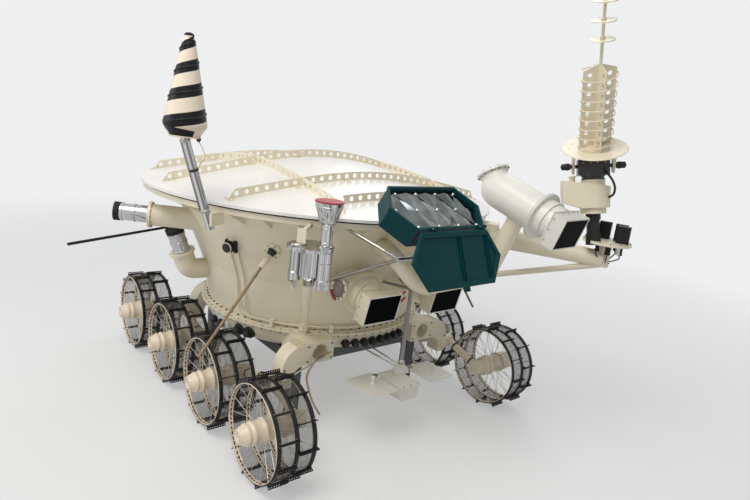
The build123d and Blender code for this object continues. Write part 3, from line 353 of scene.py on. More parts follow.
# Turntable, black from its collar up
MAST_BASE = Vector((0.765, -1.485, 0.652))
MAST_UP = Vector((0.0, 0.21644, 0.97630))
HEAD_UP = Vector((-0.37085, -0.08696, 0.92461))
PIN_LINE = Vector((0.60939, -0.77408, 0.17161))
GIMBAL = MAST_BASE + 0.545 * MAST_UP
COLLAR_UP = 0.472
two_tone = paint("turntable_paint", CREAM)
two_tone.over(two_tone.along(MAST_BASE, MAST_UP) > COLLAR_UP, (0.014, 0.014, 0.015))
two_tone.dress("antenna_turntable")

# Spectrometer, grey from its rod's foot up
probe = paint("probe_paint", (0.76, 0.74, 0.67), rough=(0.3, 0.42), coat=0.2)
probe.over(probe.placed(ORIGIN)[2] > -0.004, (0.30, 0.29, 0.27))
probe.dress("spectrometer")

# Cone antenna's tube, with painted reflections streaked along its length at fixed turns round it, and a
# painted bracket
TUBE_UP = Vector((-0.31565, 0, 0.94888))
TUBE_FOOT = Vector((-0.9684, -0.5302, 0.740))
TUBE_SIDE = Vector((0.94888, 0, 0.31565))
TUBE_SKIN = 0.0196
# turn round the tube from 0 to 1, colour of the painted reflection there
TUBE_REFLECTION_BANDS = [(0.05, (0.42, 0.41, 0.40)), (0.12, (0.72, 0.72, 0.72)), (0.20, (0.13, 0.125, 0.12)),
                (0.30, (0.62, 0.62, 0.62)), (0.38, (0.20, 0.195, 0.19)), (0.48, (0.66, 0.66, 0.66)),
                (0.60, (0.22, 0.215, 0.21)), (0.72, (0.60, 0.60, 0.60)), (0.86, (0.18, 0.175, 0.17))]
tube_metal = metal("tube_metal", (0.50, 0.50, 0.51), rough=(0.08, 0.2), stretch=(1, 1, 0.06), relief=0.01)
tube_x = tube_metal.along(TUBE_FOOT, TUBE_SIDE)
tube_y = tube_metal.placed(TUBE_FOOT)[1]
round_tube = tube_metal.spread(tube_y.op("ARCTAN2", tube_x), 0.0, 1.0, -pi, pi)
# Painted reflections: bright and dark bands at fixed turns round the metal tube
tube_metal.colour(tube_metal.ramp(round_tube, TUBE_REFLECTION_BANDS))
tube_metal.painted(tube_x * tube_x + tube_y * tube_y > TUBE_SKIN ** 2, CREAM)
tube_metal.dress("cone_antenna_mount")

# Photometer, streaked down its canisters, with its strut and ear painted
METER_AT = (-0.6717, -0.9298, 0.713)
METER_SIDE = Vector((0.75471, -0.65606, 0.0))
STRUT_TOP = -0.180
EAR_SIDE = -0.018
EAR_FOOT = 0.0205
METER_STREAKS = [(0.36, (0.24, 0.24, 0.235)), (0.46, (0.60, 0.60, 0.60)), (0.54, (0.34, 0.34, 0.335)),
                 (0.64, (0.64, 0.64, 0.64))]
meter_metal = metal("meter_metal", (0.53, 0.53, 0.525), rough=(0.22, 0.28), stretch=(1, 1, 0.15), relief=0.0)
streaks = meter_metal.noise(75.0, 1.0, 0.4, meter_metal.scaled((1, 1, 0.01)))
meter_metal.colour(meter_metal.ramp(streaks, METER_STREAKS))
meter_h = meter_metal.placed(METER_AT)[2]
ear_part = (meter_metal.along(METER_AT, METER_SIDE) < EAR_SIDE) * (meter_h > EAR_FOOT)
meter_metal.painted((meter_h < STRUT_TOP).op("MAXIMUM", ear_part), CREAM)
meter_metal.dress("photometer")


# Piece builder
def joining(n):
    """Faces that join a loop of n points to the next n."""
    return [(i, (i + 1) % n, n + (i + 1) % n, n + i) for i in range(n)]


def circle(radius, count, start=0.0):
    """x and y of points round a circle."""
    turns = [start + 2 * pi * i / count for i in range(count)]
    return [(radius * cos(a), radius * sin(a)) for a in turns]


class Piece:
    """Collects faces in several finishes, then makes one object that rides on a body."""

    def __init__(self, name):
        self.name = name
        self.finishes = []
        self.points = []
        self.faces = []
        self.slots = []
        self.soft = []

    def add(self, points, faces, finish, place=None, smooth=False):
        base = len(self.points)
        if place is None:
            self.points += [tuple(p) for p in points]
        else:
            self.points += [tuple(place @ Vector(p)) for p in points]
        self.faces += [tuple(base + i for i in face) for face in faces]
        if finish not in self.finishes:
            self.finishes.append(finish)
        self.slots += [self.finishes.index(finish)] * len(faces)
        self.soft += [smooth] * len(faces)

    def turned(self, rows, finish, place, sides=32, smooth=True):
        """Surface of revolution about the place's z: a band for each pair of rows of (radius, height)."""
        for pair in zip(rows, rows[1:]):
            ring = [(r * cos(2 * pi * i / sides), r * sin(2 * pi * i / sides), z)
                    for r, z in pair for i in range(sides)]
            self.add(ring, joining(sides), finish, place, smooth)

    def band(self, inner, outer, at, half, finish, place, sides, edge=0.001):
        """A thin ring round the place's z at a height, its outer edges chamfered."""
        low, high = at - half, at + half
        rows = [(inner, low), (outer, low + edge), (outer, high - edge), (inner, high)]
        self.turned(rows, finish, place, sides)

    def prism(self, outline, finish, place):
        """A closed prism through two loops of points, one after the other."""
        n = len(outline) // 2
        ends = [tuple(reversed(range(n))), tuple(range(n, 2 * n))]
        self.add(outline, joining(n) + ends, finish, place)

    def box(self, size, finish, place):
        x, y, z = (s / 2 for s in size)
        points = [(sx * x, sy * y, sz * z) for sz in (-1, 1) for sy in (-1, 1) for sx in (-1, 1)]
        faces = [(0, 2, 3, 1), (4, 5, 7, 6), (0, 1, 5, 4), (2, 6, 7, 3), (0, 4, 6, 2), (1, 3, 7, 5)]
        self.add(points, faces, finish, place)

    def tube(self, points, radius, finish, sides=8, closed_ends=True):
        """A round tube along points, of one radius or of one for each point."""
        spots = [Vector(p) for p in points]
        rings = []
        side = None
        for i, at in enumerate(spots):
            before = spots[max(i - 1, 0)]
            after = spots[min(i + 1, len(spots) - 1)]
            line = (after - before).normalized()
            if side is None:
                side = line.orthogonal().normalized()
            side = (side - side.dot(line) * line).normalized()
            other = line.cross(side)
            r = radius[i] if isinstance(radius, list) else radius
            rings += [at + r * (cos(2 * pi * k / sides) * side + sin(2 * pi * k / sides) * other)
                      for k in range(sides)]
        last = (len(spots) - 1) * sides
        faces = [(a, b, b + sides, a + sides) for i in range(0, last, sides)
                 for a, b in zip(range(i, i + sides), [*range(i + 1, i + sides), i])]
        self.add(rings, faces, finish, smooth=True)
        if closed_ends:
            ends = [tuple(reversed(range(sides))), tuple(range(last, last + sides))]
            self.add(rings, ends, finish)

    def bolt(self, at, normal, radius, height, finish, inside=None):
        """A bolt head standing on a surface, its edge chamfered, in the object's frame or inside a place."""
        if inside:
            at = inside @ Vector(at)
            normal = inside.to_3x3() @ Vector(normal)
        place = Vector(normal).to_track_quat("Z", "Y").to_matrix().to_4x4()
        place.translation = Vector(at)
        rows = [(radius, 0), (radius, height * 0.75), (radius * 0.8, height), (0.0, height)]
        self.turned(rows, finish, place, 6, smooth=False)

    def bolt_ring(self, place, radius, count, size, finish):
        """A ring of bolt heads round a place's z."""
        normal = place.to_3x3() @ Vector(UP)
        for x, y in circle(radius, count):
            self.bolt(place @ Vector((x, y, 0)), normal, size, size * 0.8, finish)

    def mesh(self):
        mesh = bpy.data.meshes.new(self.name)
        mesh.from_pydata(self.points, [], self.faces)
        for finish in self.finishes:
            mesh.materials.append(finish.mat)
        mesh.polygons.foreach_set("material_index", self.slots)
        mesh.polygons.foreach_set("use_smooth", self.soft)
        work = bmesh.new()
        work.from_mesh(mesh)
        bmesh.ops.remove_doubles(work, verts=work.verts, dist=0.00002)
        bmesh.ops.recalc_face_normals(work, faces=work.faces)
        work.to_mesh(mesh)
        work.free()
        mesh.update()
        return mesh

    def made(self, body, slot, *replaced):
        rides(in_scene(self.name, self.mesh()), body, slot, *replaced)


def rides(thing, body, slot, *replaced):
    """Puts a piece on its body and hides the CAD nodes that it stands for; its material slot is not used."""
    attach(thing, body)
    if replaced:
        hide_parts(*replaced)


# Wheels, each about its own z, which is the axle and points outboard
WHEEL_RADIUS = 0.255
HOOP_RADIUS = 0.234
HOOP_THICK = 0.007
HOOP_WIDE = 0.018
HOOP_EDGE = 0.001
HALF_WIDTH = 0.100
LUG_PAIRS = 12
AXLE_Z = GROUND + WHEEL_RADIUS
ROW_MID = -0.080
PITCH = 0.5667
TRACK = 1.600
HOOPS = (-HALF_WIDTH + HOOP_WIDE / 2, 0.0, HALF_WIDTH - HOOP_WIDE / 2)


def hoop(p, z):
    """Black hoop with a pale strip inside, which has a row of slots along its middle."""
    low, high = z - HOOP_WIDE / 2, z + HOOP_WIDE / 2
    outer = HOOP_RADIUS - HOOP_THICK
    rows = [(outer, low), (HOOP_RADIUS - HOOP_EDGE, low), (HOOP_RADIUS, low + HOOP_EDGE),
            (HOOP_RADIUS, high - HOOP_EDGE), (HOOP_RADIUS - HOOP_EDGE, high), (outer, high), (outer, low)]
    p.turned(rows, black_paint, HERE, 96)
    inner = outer - 0.0025
    half = HOOP_WIDE / 2 + 0.002
    slot = 0.0035
    count = 60
    for i in range(count):
        start, middle, end = (2 * pi * (i + part) / count for part in (0, 0.42, 1))
        for edge0, edge1, stop in ((-half, -slot, end), (slot, half, end), (-slot, slot, middle)):
            points = [(inner * cos(a), inner * sin(a), z + h) for a in (start, stop) for h in (edge0, edge1)]
            p.add(points, [(0, 1, 3, 2)], cream_hub, smooth=True)
    p.turned([(inner, z - half), (outer, z - half), (outer, low)], cream_hub, HERE, 96)
    p.turned([(outer, high), (outer, z + half), (inner, z + half)], cream_hub, HERE, 96)


def woven_mesh(p):
    """Woven wire between the hoops."""
    r = HOOP_RADIUS - 0.004
    around = 300
    lines = 15
    wide = 0.0007 / r
    for low, high in zip(HOOPS, HOOPS[1:]):
        start = low + HOOP_WIDE / 2
        end = high - HOOP_WIDE / 2
        for i in range(around):
            a = 2 * pi * i / around
            points = [((r + out) * cos(a + da), (r + out) * sin(a + da), z)
                      for z in (start, end) for da, out in ((-wide, 0.0), (0.0, 0.0008), (wide, 0.0))]
            p.add(points, [(0, 1, 4, 3), (1, 2, 5, 4)], mesh_metal)
        for k in range(lines):
            z = start + (end - start) * (k + 0.5) / lines
            p.turned([(r, z - 0.0007), (r + 0.001, z), (r, z + 0.0007)], mesh_metal, HERE, 96)


def lug_blade(p, angle, z0):
    """Black blade across half the wheel with a row of small holes, bolted to two hoops."""
    place = spun(angle)
    holes = 8
    half = HALF_WIDTH / holes / 2
    z1 = z0 + HALF_WIDTH
    low = HOOP_RADIUS - 0.001
    high = WHEEL_RADIUS
    thick = 0.0022
    middle = high - 0.0075
    base = 2 * middle - high
    for k in range(holes):
        zc = z0 + (2 * k + 1) * half
        corners = [(high, -half), (high, 0), (high, half), (middle, half), (base, half), (base, 0),
                   (base, -half), (middle, -half)]
        corners = [(x, zc + z) for x, z in corners]
        hole = [(middle + x, zc + z) for x, z in circle(0.0033, 8, atan2(-half, high - middle))]
        for y in (-thick, thick):
            p.add([(x, y, z) for x, z in corners + hole], joining(8), black_paint, place)
            foot = [(low, y, zc - half), (low, y, zc + half), (base, y, zc + half), (base, y, zc - half)]
            p.add(foot, [(0, 1, 2, 3)], black_paint, place)
        p.add([(x, y, z) for y in (-thick, thick) for x, z in hole], joining(8), black_paint, place)
    top = [(high, -thick, z0), (high, thick, z0), (high, thick, z1), (high, -thick, z1)]
    p.add(top, [(0, 1, 2, 3)], black_paint, place)
    for z in (z0, z1):
        end = [(low, -thick, z), (low, thick, z), (high, thick, z), (high, -thick, z)]
        p.add(end, [(0, 1, 2, 3)], black_paint, place)
    for z in (z0 + 0.009, z1 - 0.009):
        p.box((0.0024, 0.022, 0.012), black_paint, place @ shift((HOOP_RADIUS + 0.0012, 0, z)))
        for y in (-0.008, 0.008):
            p.bolt((HOOP_RADIUS + 0.0024, y, z), (1, 0, 0), 0.0022, 0.0016, wire_metal, place)


def spokes(p):
    """Crossing wire spokes from the drum's flanges to the three hoops."""
    # height of the spoke's foot on the drum, its radius there
    feet = [(-0.060, 0.060), (0.0, 0.053), (0.045, 0.060)]
    count = 16
    for z, (foot_z, foot_r) in zip(HOOPS, feet):
        for i in range(count):
            a = 2 * pi * i / count
            lean = 0.42 if i % 2 else -0.42
            foot = Vector((foot_r * cos(a + lean), foot_r * sin(a + lean), foot_z))
            rim = Vector(((HOOP_RADIUS - 0.008) * cos(a), (HOOP_RADIUS - 0.008) * sin(a), z))
            p.tube([foot, rim], 0.0014, wire_metal, 5, closed_ends=False)
            p.tube([rim.lerp(foot, 0.09), rim], 0.0024, wire_metal, 5)


def hub(p):
    """Cream drum with ribs, stepped cap and small bolts at its tip."""
    rows = [(0.0225, -0.1), (0.056, -0.1), (0.058, -0.098), (0.058, -0.094), (0.056, -0.092), (0.053, -0.09),
            (0.053, -0.066), (0.060, -0.064), (0.0605, -0.060), (0.060, -0.056), (0.052, -0.052),
            (0.051, -0.012), (0.053, -0.008), (0.0545, 0.0), (0.053, 0.008), (0.051, 0.012), (0.052, 0.036),
            (0.060, 0.040), (0.061, 0.045), (0.060, 0.050), (0.053, 0.054), (0.052, 0.092), (0.0555, 0.096),
            (0.057, 0.102), (0.0555, 0.108), (0.051, 0.112), (0.050, 0.124), (0.053, 0.128), (0.053, 0.133),
            (0.048, 0.138), (0.045, 0.150), (0.040, 0.158), (0.036, 0.162), (0.036, 0.168), (0.033, 0.171),
            (0.016, 0.171), (0.014, 0.168), (0.0, 0.168)]
    p.turned(rows, cream_hub, HERE, 48)
    p.turned([(0.0225, -0.1), (0.0225, -0.04), (0.0, -0.04)], black_matte, HERE, 24)
    for x, y in circle(0.0285, 10):
        p.bolt((x, y, 0.171), UP, 0.0036, 0.003, wire_metal)
    for x, y in circle(0.050, 12, pi / 12):
        p.bolt((x, y, -0.1), DOWN, 0.0034, 0.0028, wire_metal)


wheel = Piece("wheel_look")
for z in HOOPS:
    hoop(wheel, z)
woven_mesh(wheel)
for start, z0 in ((0.0, -HALF_WIDTH), (0.5, 0.0)):
    for i in range(LUG_PAIRS):
        lug_blade(wheel, 2 * pi / LUG_PAIRS * (i + start), z0)
spokes(wheel)
hub(wheel)
wheel_mesh = wheel.mesh()
for side, out in (("right", Vector((-1, 0, 0))), ("left", Vector((1, 0, 0)))):
    for row in range(4):
        name = f"wheel_{side}_{row + 1}"
        own_mesh = wheel_mesh.copy()
        own_mesh.transform(spun(0.2 * row))
        at = out * TRACK / 2 + Vector((0, ROW_MID + (row - 1.5) * PITCH, AXLE_Z))
        facing_out = out.to_track_quat("Z", "Y").to_matrix().to_4x4()
        rides(in_scene(name + "_look", own_mesh, shift(at) @ facing_out), name, "wheel_metal", name)


# Places on the hull, and paths
def polar(radius, angle, z):
    """A point from its distance to the hull's axis, its angle from +X in degrees, and its height."""
    return Vector((radius * cos(radians(angle)), radius * sin(radians(angle)), z))


def frame_at(origin, z_axis, x_axis=None):
    """A place whose z runs along an axis, and its x as near as can be along another."""
    z = Vector(z_axis).normalized()
    if x_axis is None:
        place = z.to_track_quat("Z", "Y").to_matrix().to_4x4()
    else:
        x = Vector(x_axis)
        x = (x - x.dot(z) * z).normalized()
        place = Matrix((x, z.cross(x), z)).transposed().to_4x4()
    place.translation = Vector(origin)
    return place


def mirrored(at, side):
    """A point, or its mirror image on the other side of the hull."""
    return Vector((at[0] * side, at[1], at[2]))


def bowed(start, end, bow, count=14):
    """Points of a smooth bow from start to end that swings out by a vector in its middle."""
    return [start.lerp(end, i / count) + bow * sin(pi * i / count) for i in range(count + 1)]


def smoothed(points, steps=6):
    """A smooth path through points."""
    spots = [Vector(p) for p in points]
    spots = [2 * spots[0] - spots[1]] + spots + [2 * spots[-1] - spots[-2]]
    path = []
    for a, b, c, d in zip(spots, spots[1:], spots[2:], spots[3:]):
        for k in range(steps):
            t = k / steps
            path.append(0.5 * (2 * b + (c - a) * t + (2 * a - 5 * b + 4 * c - d) * t ** 2
                               + (3 * b - a - 3 * c + d) * t ** 3))
    return path + [spots[-2]]


# Hull: bolts round the flange and on its clips
FLANGE_BOLTS = 80
# radius, turn, height, way up, bolt's size and height, finish
FLANGE_RINGS = [(0.657, 0.0, 0.137, UP, 0.0055, 0.006, bolt_dark),
                (0.679, 2.2, 0.127, UP, 0.0048, 0.005, steel),
                (0.683, 2.2, 0.117, DOWN, 0.0055, 0.009, bolt_dark)]
hull_bolts = Piece("flange_bolts")
for i in range(FLANGE_BOLTS):
    for radius, turn, z, way, size, tall, finish in FLANGE_RINGS:
        hull_bolts.bolt(polar(radius, 360 / FLANGE_BOLTS * i + turn, z), way, size, tall, finish)
for angle in (-142, -128, -114):
    hull_bolts.bolt(polar(0.677, angle, 0.153), polar(1, angle, 0), 0.0065, 0.005, bolt_dark)
hull_bolts.made("hull", "grey_metal")

# Plugs round the pan: collars, rings and spokes; four have a white plate
PLAIN_PLUGS = (-106, -101, -96, -91, -86, -81, -76, -71)
WIDE_PLUGS = (-154, -160)
WIDE_PLUGS_LEFT = (-26, -20)
PLATED_PLUGS = (-172, -178)
PLATED_PLUGS_LEFT = (-8, -2)
PLUG_LOOKS = [(PLAIN_PLUGS, 0.024, rubber), (WIDE_PLUGS, 0.036, rubber), (PLATED_PLUGS, 0.052, white_enamel),
              (WIDE_PLUGS_LEFT, 0.036, rubber), (PLATED_PLUGS_LEFT, 0.052, white_enamel)]
plug_looks = Piece("plug_details")
for angles, wide, collar in PLUG_LOOKS:
    for angle in angles:
        near = polar(0.620, angle, 0.068)
        place = frame_at(near, polar(0.690, angle, 0.056) - near)
        plug_looks.turned([(wide, 0.018), (wide, 0.045), (wide - 0.002, 0.048), (0.019, 0.049)], collar,
                          place, 28)
        plug_looks.band(0.0195, 0.0225, 0.059, 0.007, black_matte, place, 20, 0.002)
        plug_looks.turned([(0.0150, 0.0712), (0.0150, 0.0795), (0.0120, 0.0825), (0.0, 0.0825)], rubber,
                          place, 20)
        plug_looks.turned([(0.0190, 0.0711), (0.0150, 0.0712)], rubber, place, 20)
        for k in range(4):
            tab = place @ spun(pi / 2 * k + 0.4) @ shift((0.0228, 0, 0.059))
            plug_looks.box((0.003, 0.006, 0.011), rubber, tab)
plug_looks.made("hull", "black_rubber")

# Socket on the right flank, with two leads that leave it
SOCKET_TURN = -158
out = polar(1, SOCKET_TURN, -0.2)
socket_place = frame_at(polar(0.7694, SOCKET_TURN, 0.575), out)
sockets = Piece("socket_details")
sockets.band(0.0285, 0.031, 0.043, 0.013, black_matte, socket_place, 28, 0.002)
sockets.turned([(0.0245, 0.0615), (0.0245, 0.068), (0.018, 0.072), (0.0, 0.072)], rubber, socket_place, 24)
sockets.bolt_ring(socket_place @ shift((0, 0, 0.026)), 0.0335, 6, 0.003, bolt_dark)
for turn in (-2.0, 2.0):
    top = polar(0.800, SOCKET_TURN + turn, 0.600)
    foot = polar(0.789, SOCKET_TURN + turn, 0.535)
    sockets.tube([top.lerp(foot, t) for t in (0, 0.1, 0.9, 1)], [0.008, 0.012, 0.012, 0.007], black_matte, 12)
sockets.made("hull", "black_box")

# Whip antennas: root plates, boots, sleeves and end caps
WHIP_ROOT = (-0.590, -0.500, 0.610)
WHIP_TIP = (-1.000, -0.545, 0.090)
# steps along the whip, radii there, finish, sides
WHIP_TUBES = [((0.040, 0.052, 0.062, 0.085, 0.088), [0.026, 0.026, 0.021, 0.018, 0.0155], rubber, 20),
              ((0.086, 0.088, 0.200, 0.203), [0.0150, 0.0162, 0.0162, 0.0140], cream_hub, 20),
              ((0.995, 0.9995), 0.0082, rubber, 12)]
whip_roots = Piece("whip_roots")
for side in (1, -1):
    root = mirrored(WHIP_ROOT, side)
    end = mirrored(WHIP_TIP, side)
    leave = root.lerp(end, 0.048)
    plate = frame_at(leave, (leave.x, leave.y, -0.32))
    whip_roots.turned([(0.046, -0.020), (0.046, 0.004), (0.044, 0.006), (0.0, 0.006)], cream, plate, 32)
    whip_roots.bolt_ring(plate @ shift((0, 0, 0.006)), 0.037, 6, 0.0035, bolt_dark)
    for along, radii, finish, sides in WHIP_TUBES:
        whip_roots.tube([root.lerp(end, t) for t in along], radii, finish, sides)
whip_roots.made("hull", "cream_paint")

# Castings and swing arms: bolts, leads with clamps, and two leads at the front right
FACE_BOLTS = [(0.592, z, 0.0055, 0.005) for z in (-0.085, -0.045, -0.005)]
FACE_BOLTS += [(x, z, 0.005, 0.0045) for x in (0.305, 0.455) for z in (0.018, 0.100)]
casting_bolts = Piece("casting_bolts")
for sx in (-1, 1):
    for sy, pivot_y in ((-1, ROW_MID - PITCH), (1, ROW_MID + PITCH)):
        front = pivot_y + sy * 0.032
        for x, z, size, tall in FACE_BOLTS:
            casting_bolts.bolt((sx * x, front, z), (0, sy, 0), size, tall, bolt_dark)
        casting_bolts.turned([(0.042, -0.004), (0.0425, 0.0015), (0.047, 0.0015), (0.0475, 0.0)], steel,
                             frame_at((sx * 0.380, front, 0.0585), (0, sy, 0)), 40)
        casting_bolts.bolt_ring(frame_at((sx * 0.6051, pivot_y, -0.060), (sx, 0, 0)), 0.0440, 8, 0.0034,
                                bolt_dark)
lead = smoothed([(-0.300, -0.672, 0.046), (-0.372, -0.696, 0.042), (-0.430, -0.704, 0.016),
                 (-0.470, -0.708, -0.044), (-0.450, -0.706, -0.130), (-0.408, -0.704, -0.225),
                 (-0.360, -0.702, -0.300)])
casting_bolts.tube(lead, 0.0055, bronze, 10)
lead = smoothed([(-0.372, -0.706, 0.044), (-0.450, -0.712, 0.018), (-0.520, -0.714, -0.004),
                 (-0.600, -0.712, -0.036), (-0.645, -0.705, -0.075)])
casting_bolts.tube(lead, 0.0045, steel, 10)
for sx in (-1, 1):
    for row in range(4):
        wheel_y = ROW_MID + (row - 1.5) * PITCH
        pivot_y = ROW_MID + (1 if row > 1 else -1) * PITCH
        upper = Vector((sx * 0.655, pivot_y + (wheel_y - pivot_y) * 0.16, -0.060))
        lower = Vector((sx * 0.655, wheel_y, AXLE_Z))
        away = Vector((0, 0.029 if row % 2 == 0 else -0.029, 0))
        casting_bolts.tube([upper.lerp(lower, t) + away for t in (0.05, 0.3, 0.6, 0.86)], 0.0045, bronze, 8)
        for t in (0.15, 0.75):
            clamp = [upper.lerp(lower, t + end) for end in (-0.02, 0.02)]
            casting_bolts.tube(clamp, 0.0255, bolt_dark, 20)
casting_bolts.made("hull", "grey_metal")

# Antenna's head: helix wire on the fins, clips, collars on the rod, wires at its foot and bolts
HEAD = frame_at(GIMBAL, HEAD_UP, PIN_LINE)
DISC_TOP = 0.1045
HELIX_FOOT = 0.118
HELIX_RADIUS = 0.0845
HELIX_PITCH = 0.0484
HELIX_TURNS = 7.9
HELIX_START = 194
HELIX_STEPS = 30
head_look = Piece("antenna_wires")


def helix_height(turns):
    return HELIX_FOOT + HELIX_PITCH * (turns + 0.02)


coil = []
for i in range(int(HELIX_TURNS * HELIX_STEPS) + 1):
    a = radians(HELIX_START) + 2 * pi * i / HELIX_STEPS
    coil.append(HEAD @ Vector((HELIX_RADIUS * cos(a), HELIX_RADIUS * sin(a), helix_height(i / HELIX_STEPS))))
head_look.tube(coil, 0.0026, cream_hub, 8)
for turn in (14, 104, 194, 284):
    for i in range(8):
        s = helix_height(i + ((turn - HELIX_START) % 360) / 360)
        head_look.box((0.010, 0.0085, 0.010), cream, HEAD @ spun(radians(turn)) @ shift((0.0835, 0, s)))
for z in (0.640, 0.726, 0.812):
    for low, high in ((-0.009, 0.0), (0.005, 0.013)):
        rows = [(0.0075, z + low), (0.0125, z + low), (0.0125, z + high), (0.0075, z + high)]
        head_look.turned(rows, cream, HEAD, 20)
for k in range(9):
    a = radians(225 + 26 * k)
    start = HEAD @ Vector((0.022 * cos(a), 0.022 * sin(a), 0.108))
    end = HEAD @ Vector((0.074 * cos(a + 0.5), 0.074 * sin(a + 0.5), DISC_TOP + 0.022 * (k % 3)))
    swing = HEAD.to_3x3() @ Vector((0.022 * cos(a + 1.4), 0.022 * sin(a + 1.4), 0.016 + 0.005 * (k % 2)))
    head_look.tube(bowed(start, end, swing), 0.0014, bronze if k % 3 else cream_hub, 6)
for side in (-1, 1):
    for y in (-0.030, 0.030):
        head_look.bolt((side * 0.107, y, 0.078), (side, 0, 0), 0.005, 0.004, bolt_dark, HEAD)
head_look.bolt_ring(HEAD @ shift((0, 0, DISC_TOP + 0.0005)), 0.125, 12, 0.0032, cream_hub)
head_look.made("antenna", "cream_paint")

# Turntable: knobs on the pin, bolts, a cable loop, a handle and a spout
MAST = frame_at(MAST_BASE, MAST_UP, PIN_LINE)
BLOCK_TOP = 0.578
KNOB_ROWS = [(0.0172, -0.036), (0.0190, -0.034), (0.0190, -0.022), (0.0172, -0.020), (0.0172, -0.003),
             (0.0150, 0.0005), (0.0080, 0.0010), (0.0080, 0.005), (0.0, 0.005)]
SPOUT_ROWS = [(0.0150, 0.0), (0.0150, 0.034), (0.0190, 0.036), (0.0190, 0.042), (0.0125, 0.043),
              (0.0125, 0.030), (0.0, 0.030)]
LOOP_POINTS = [(0.050, -0.043, 0.530), (0.062, -0.066, 0.500), (0.082, -0.088, 0.462), (0.092, -0.092, 0.425),
               (0.088, -0.074, 0.392), (0.070, -0.050, 0.378)]
HANDLE_POINTS = [(-0.1475, -0.060, 0.440), (-0.166, -0.060, 0.436), (-0.166, -0.060, 0.392),
                 (-0.1475, -0.060, 0.388)]
turret = Piece("turntable_details")
for x in (-0.070, 0.070):
    for y in (-0.034, 0.034):
        turret.bolt(MAST @ Vector((x, y, BLOCK_TOP)), MAST_UP, 0.005, 0.0045, bolt_dark)
for side in (-1, 1):
    knob_place = frame_at(MAST @ Vector((side * 0.158, 0, 0.545)), PIN_LINE * side)
    turret.turned(KNOB_ROWS, black_paint, knob_place, 24)
    for y in (-0.014, 0.012, 0.038):
        turret.bolt(MAST @ Vector((side * 0.052, y, BLOCK_TOP)), MAST_UP, 0.0035, 0.003, bronze)
for x in (-0.055, -0.018, 0.018, 0.055):
    turret.bolt((x, -0.042, 0.560), (0, -1, 0), 0.0042, 0.003, bronze, MAST)
turret.tube(smoothed([MAST @ Vector(v) for v in LOOP_POINTS]), 0.006, rubber, 10)
turret.tube([MAST @ Vector(v) for v in HANDLE_POINTS], 0.0045, cream, 8)
turret.turned(SPOUT_ROWS, cream, frame_at(MAST @ Vector((-0.108, -0.030, 0.452)), MAST_UP), 24)
for k in range(9):
    a = radians(-80 + 20 * k)
    turret.bolt((0.0805 * cos(a), 0.0805 * sin(a), 0.345), (cos(a), sin(a), 0), 0.0036, 0.003, bolt_dark,
                MAST)
turret.made("turntable", "cream_paint")

# Antenna's plate: bolts round it, connectors under it and their leads
PLATE_AT = Vector((0.850, -1.485, 0.790))
# x, y, radius and length of a connector under the plate
UNDER_ROWS = [(0.800, -1.525, 0.016, 0.040), (0.838, -1.560, 0.014, 0.034), (0.882, -1.550, 0.016, 0.042),
              (0.918, -1.505, 0.013, 0.030), (0.905, -1.450, 0.015, 0.036), (0.790, -1.470, 0.013, 0.030)]
plate_bits = Piece("antenna_plate_details")
for x, y in circle(0.117, 14, 0.2):
    plate_bits.bolt(PLATE_AT + Vector((x, y, 0.014)), UP, 0.004, 0.0035, bolt_dark)
for n, (x, y, r, length) in enumerate(UNDER_ROWS):
    bare = n == 1
    plate_bits.turned([(r, 0.0), (r, 0.006), (r * 0.8, 0.008), (r * 0.8, length), (r * 0.95, length + 0.002),
                       (r * 0.95, length + 0.010), (r * 0.7, length + 0.013), (0.0, length + 0.013)],
                      white_enamel if bare else black_matte, frame_at((x, y, PLATE_AT.z + 0.0002), DOWN), 24)
    if not bare:
        drop = Vector((x, y, PLATE_AT.z - length - 0.012))
        waist = PLATE_AT + Vector((0.034 * cos(n), 0.034 * sin(n), -0.075 - 0.006 * n))
        path = [drop, drop + Vector((0, 0, -0.022)), drop.lerp(waist, 0.6) + Vector((0, 0, -0.030)), waist]
        plate_bits.tube(smoothed(path), 0.0034, rubber, 8)
plate_bits.made("hull", "black_box")

# Television cameras: screws on hoods, frames round their mouths, bolts on necks and ports, red marks
EYE_LONG = 0.181
HOOD_HALF_WIDE = 0.1082
HOOD_HALF_HIGH = 0.0802
FRAME_U = 0.1045
FRAME_V = 0.0765
FRAME_WIDE = 0.0050
SCREW_BACK = -0.058
SCREW = (0.0028, 0.002, bolt_dark)
camera_bolts = Piece("camera_details")


def hood_details(mouth, tone):
    """Screws round a hood's back plate, a frame round its mouth and bolts on the neck's flange."""
    for side in (-1, 1):
        for u in (-0.090, -0.045, 0.0, 0.045, 0.090):
            camera_bolts.bolt((u, side * HOOD_HALF_HIGH, SCREW_BACK), (0, side, 0), *SCREW, mouth)
        for v in (-0.055, 0.0, 0.055):
            camera_bolts.bolt((side * HOOD_HALF_WIDE, v, SCREW_BACK), (side, 0, 0), *SCREW, mouth)
        camera_bolts.box((FRAME_WIDE, 2 * FRAME_V, 0.0035), tone, mouth @ shift((side * FRAME_U, 0, -0.0008)))
        camera_bolts.box((2 * FRAME_U + FRAME_WIDE, FRAME_WIDE, 0.0037), tone,
                         mouth @ shift((0, side * FRAME_V, -0.0008)))
    camera_bolts.bolt_ring(mouth @ shift((0, 0, -0.167)) @ spun(pi, "X"), 0.1125, 20, 0.0042, bolt_dark)


def aimed(at, turn, dip):
    """A place whose z looks forward, turned towards +X by an angle and down by another, its x level."""
    a, b = radians(turn), radians(dip)
    return frame_at(at, (sin(a) * cos(b), -cos(a) * cos(b), -sin(b)), (cos(a), sin(a), 0))


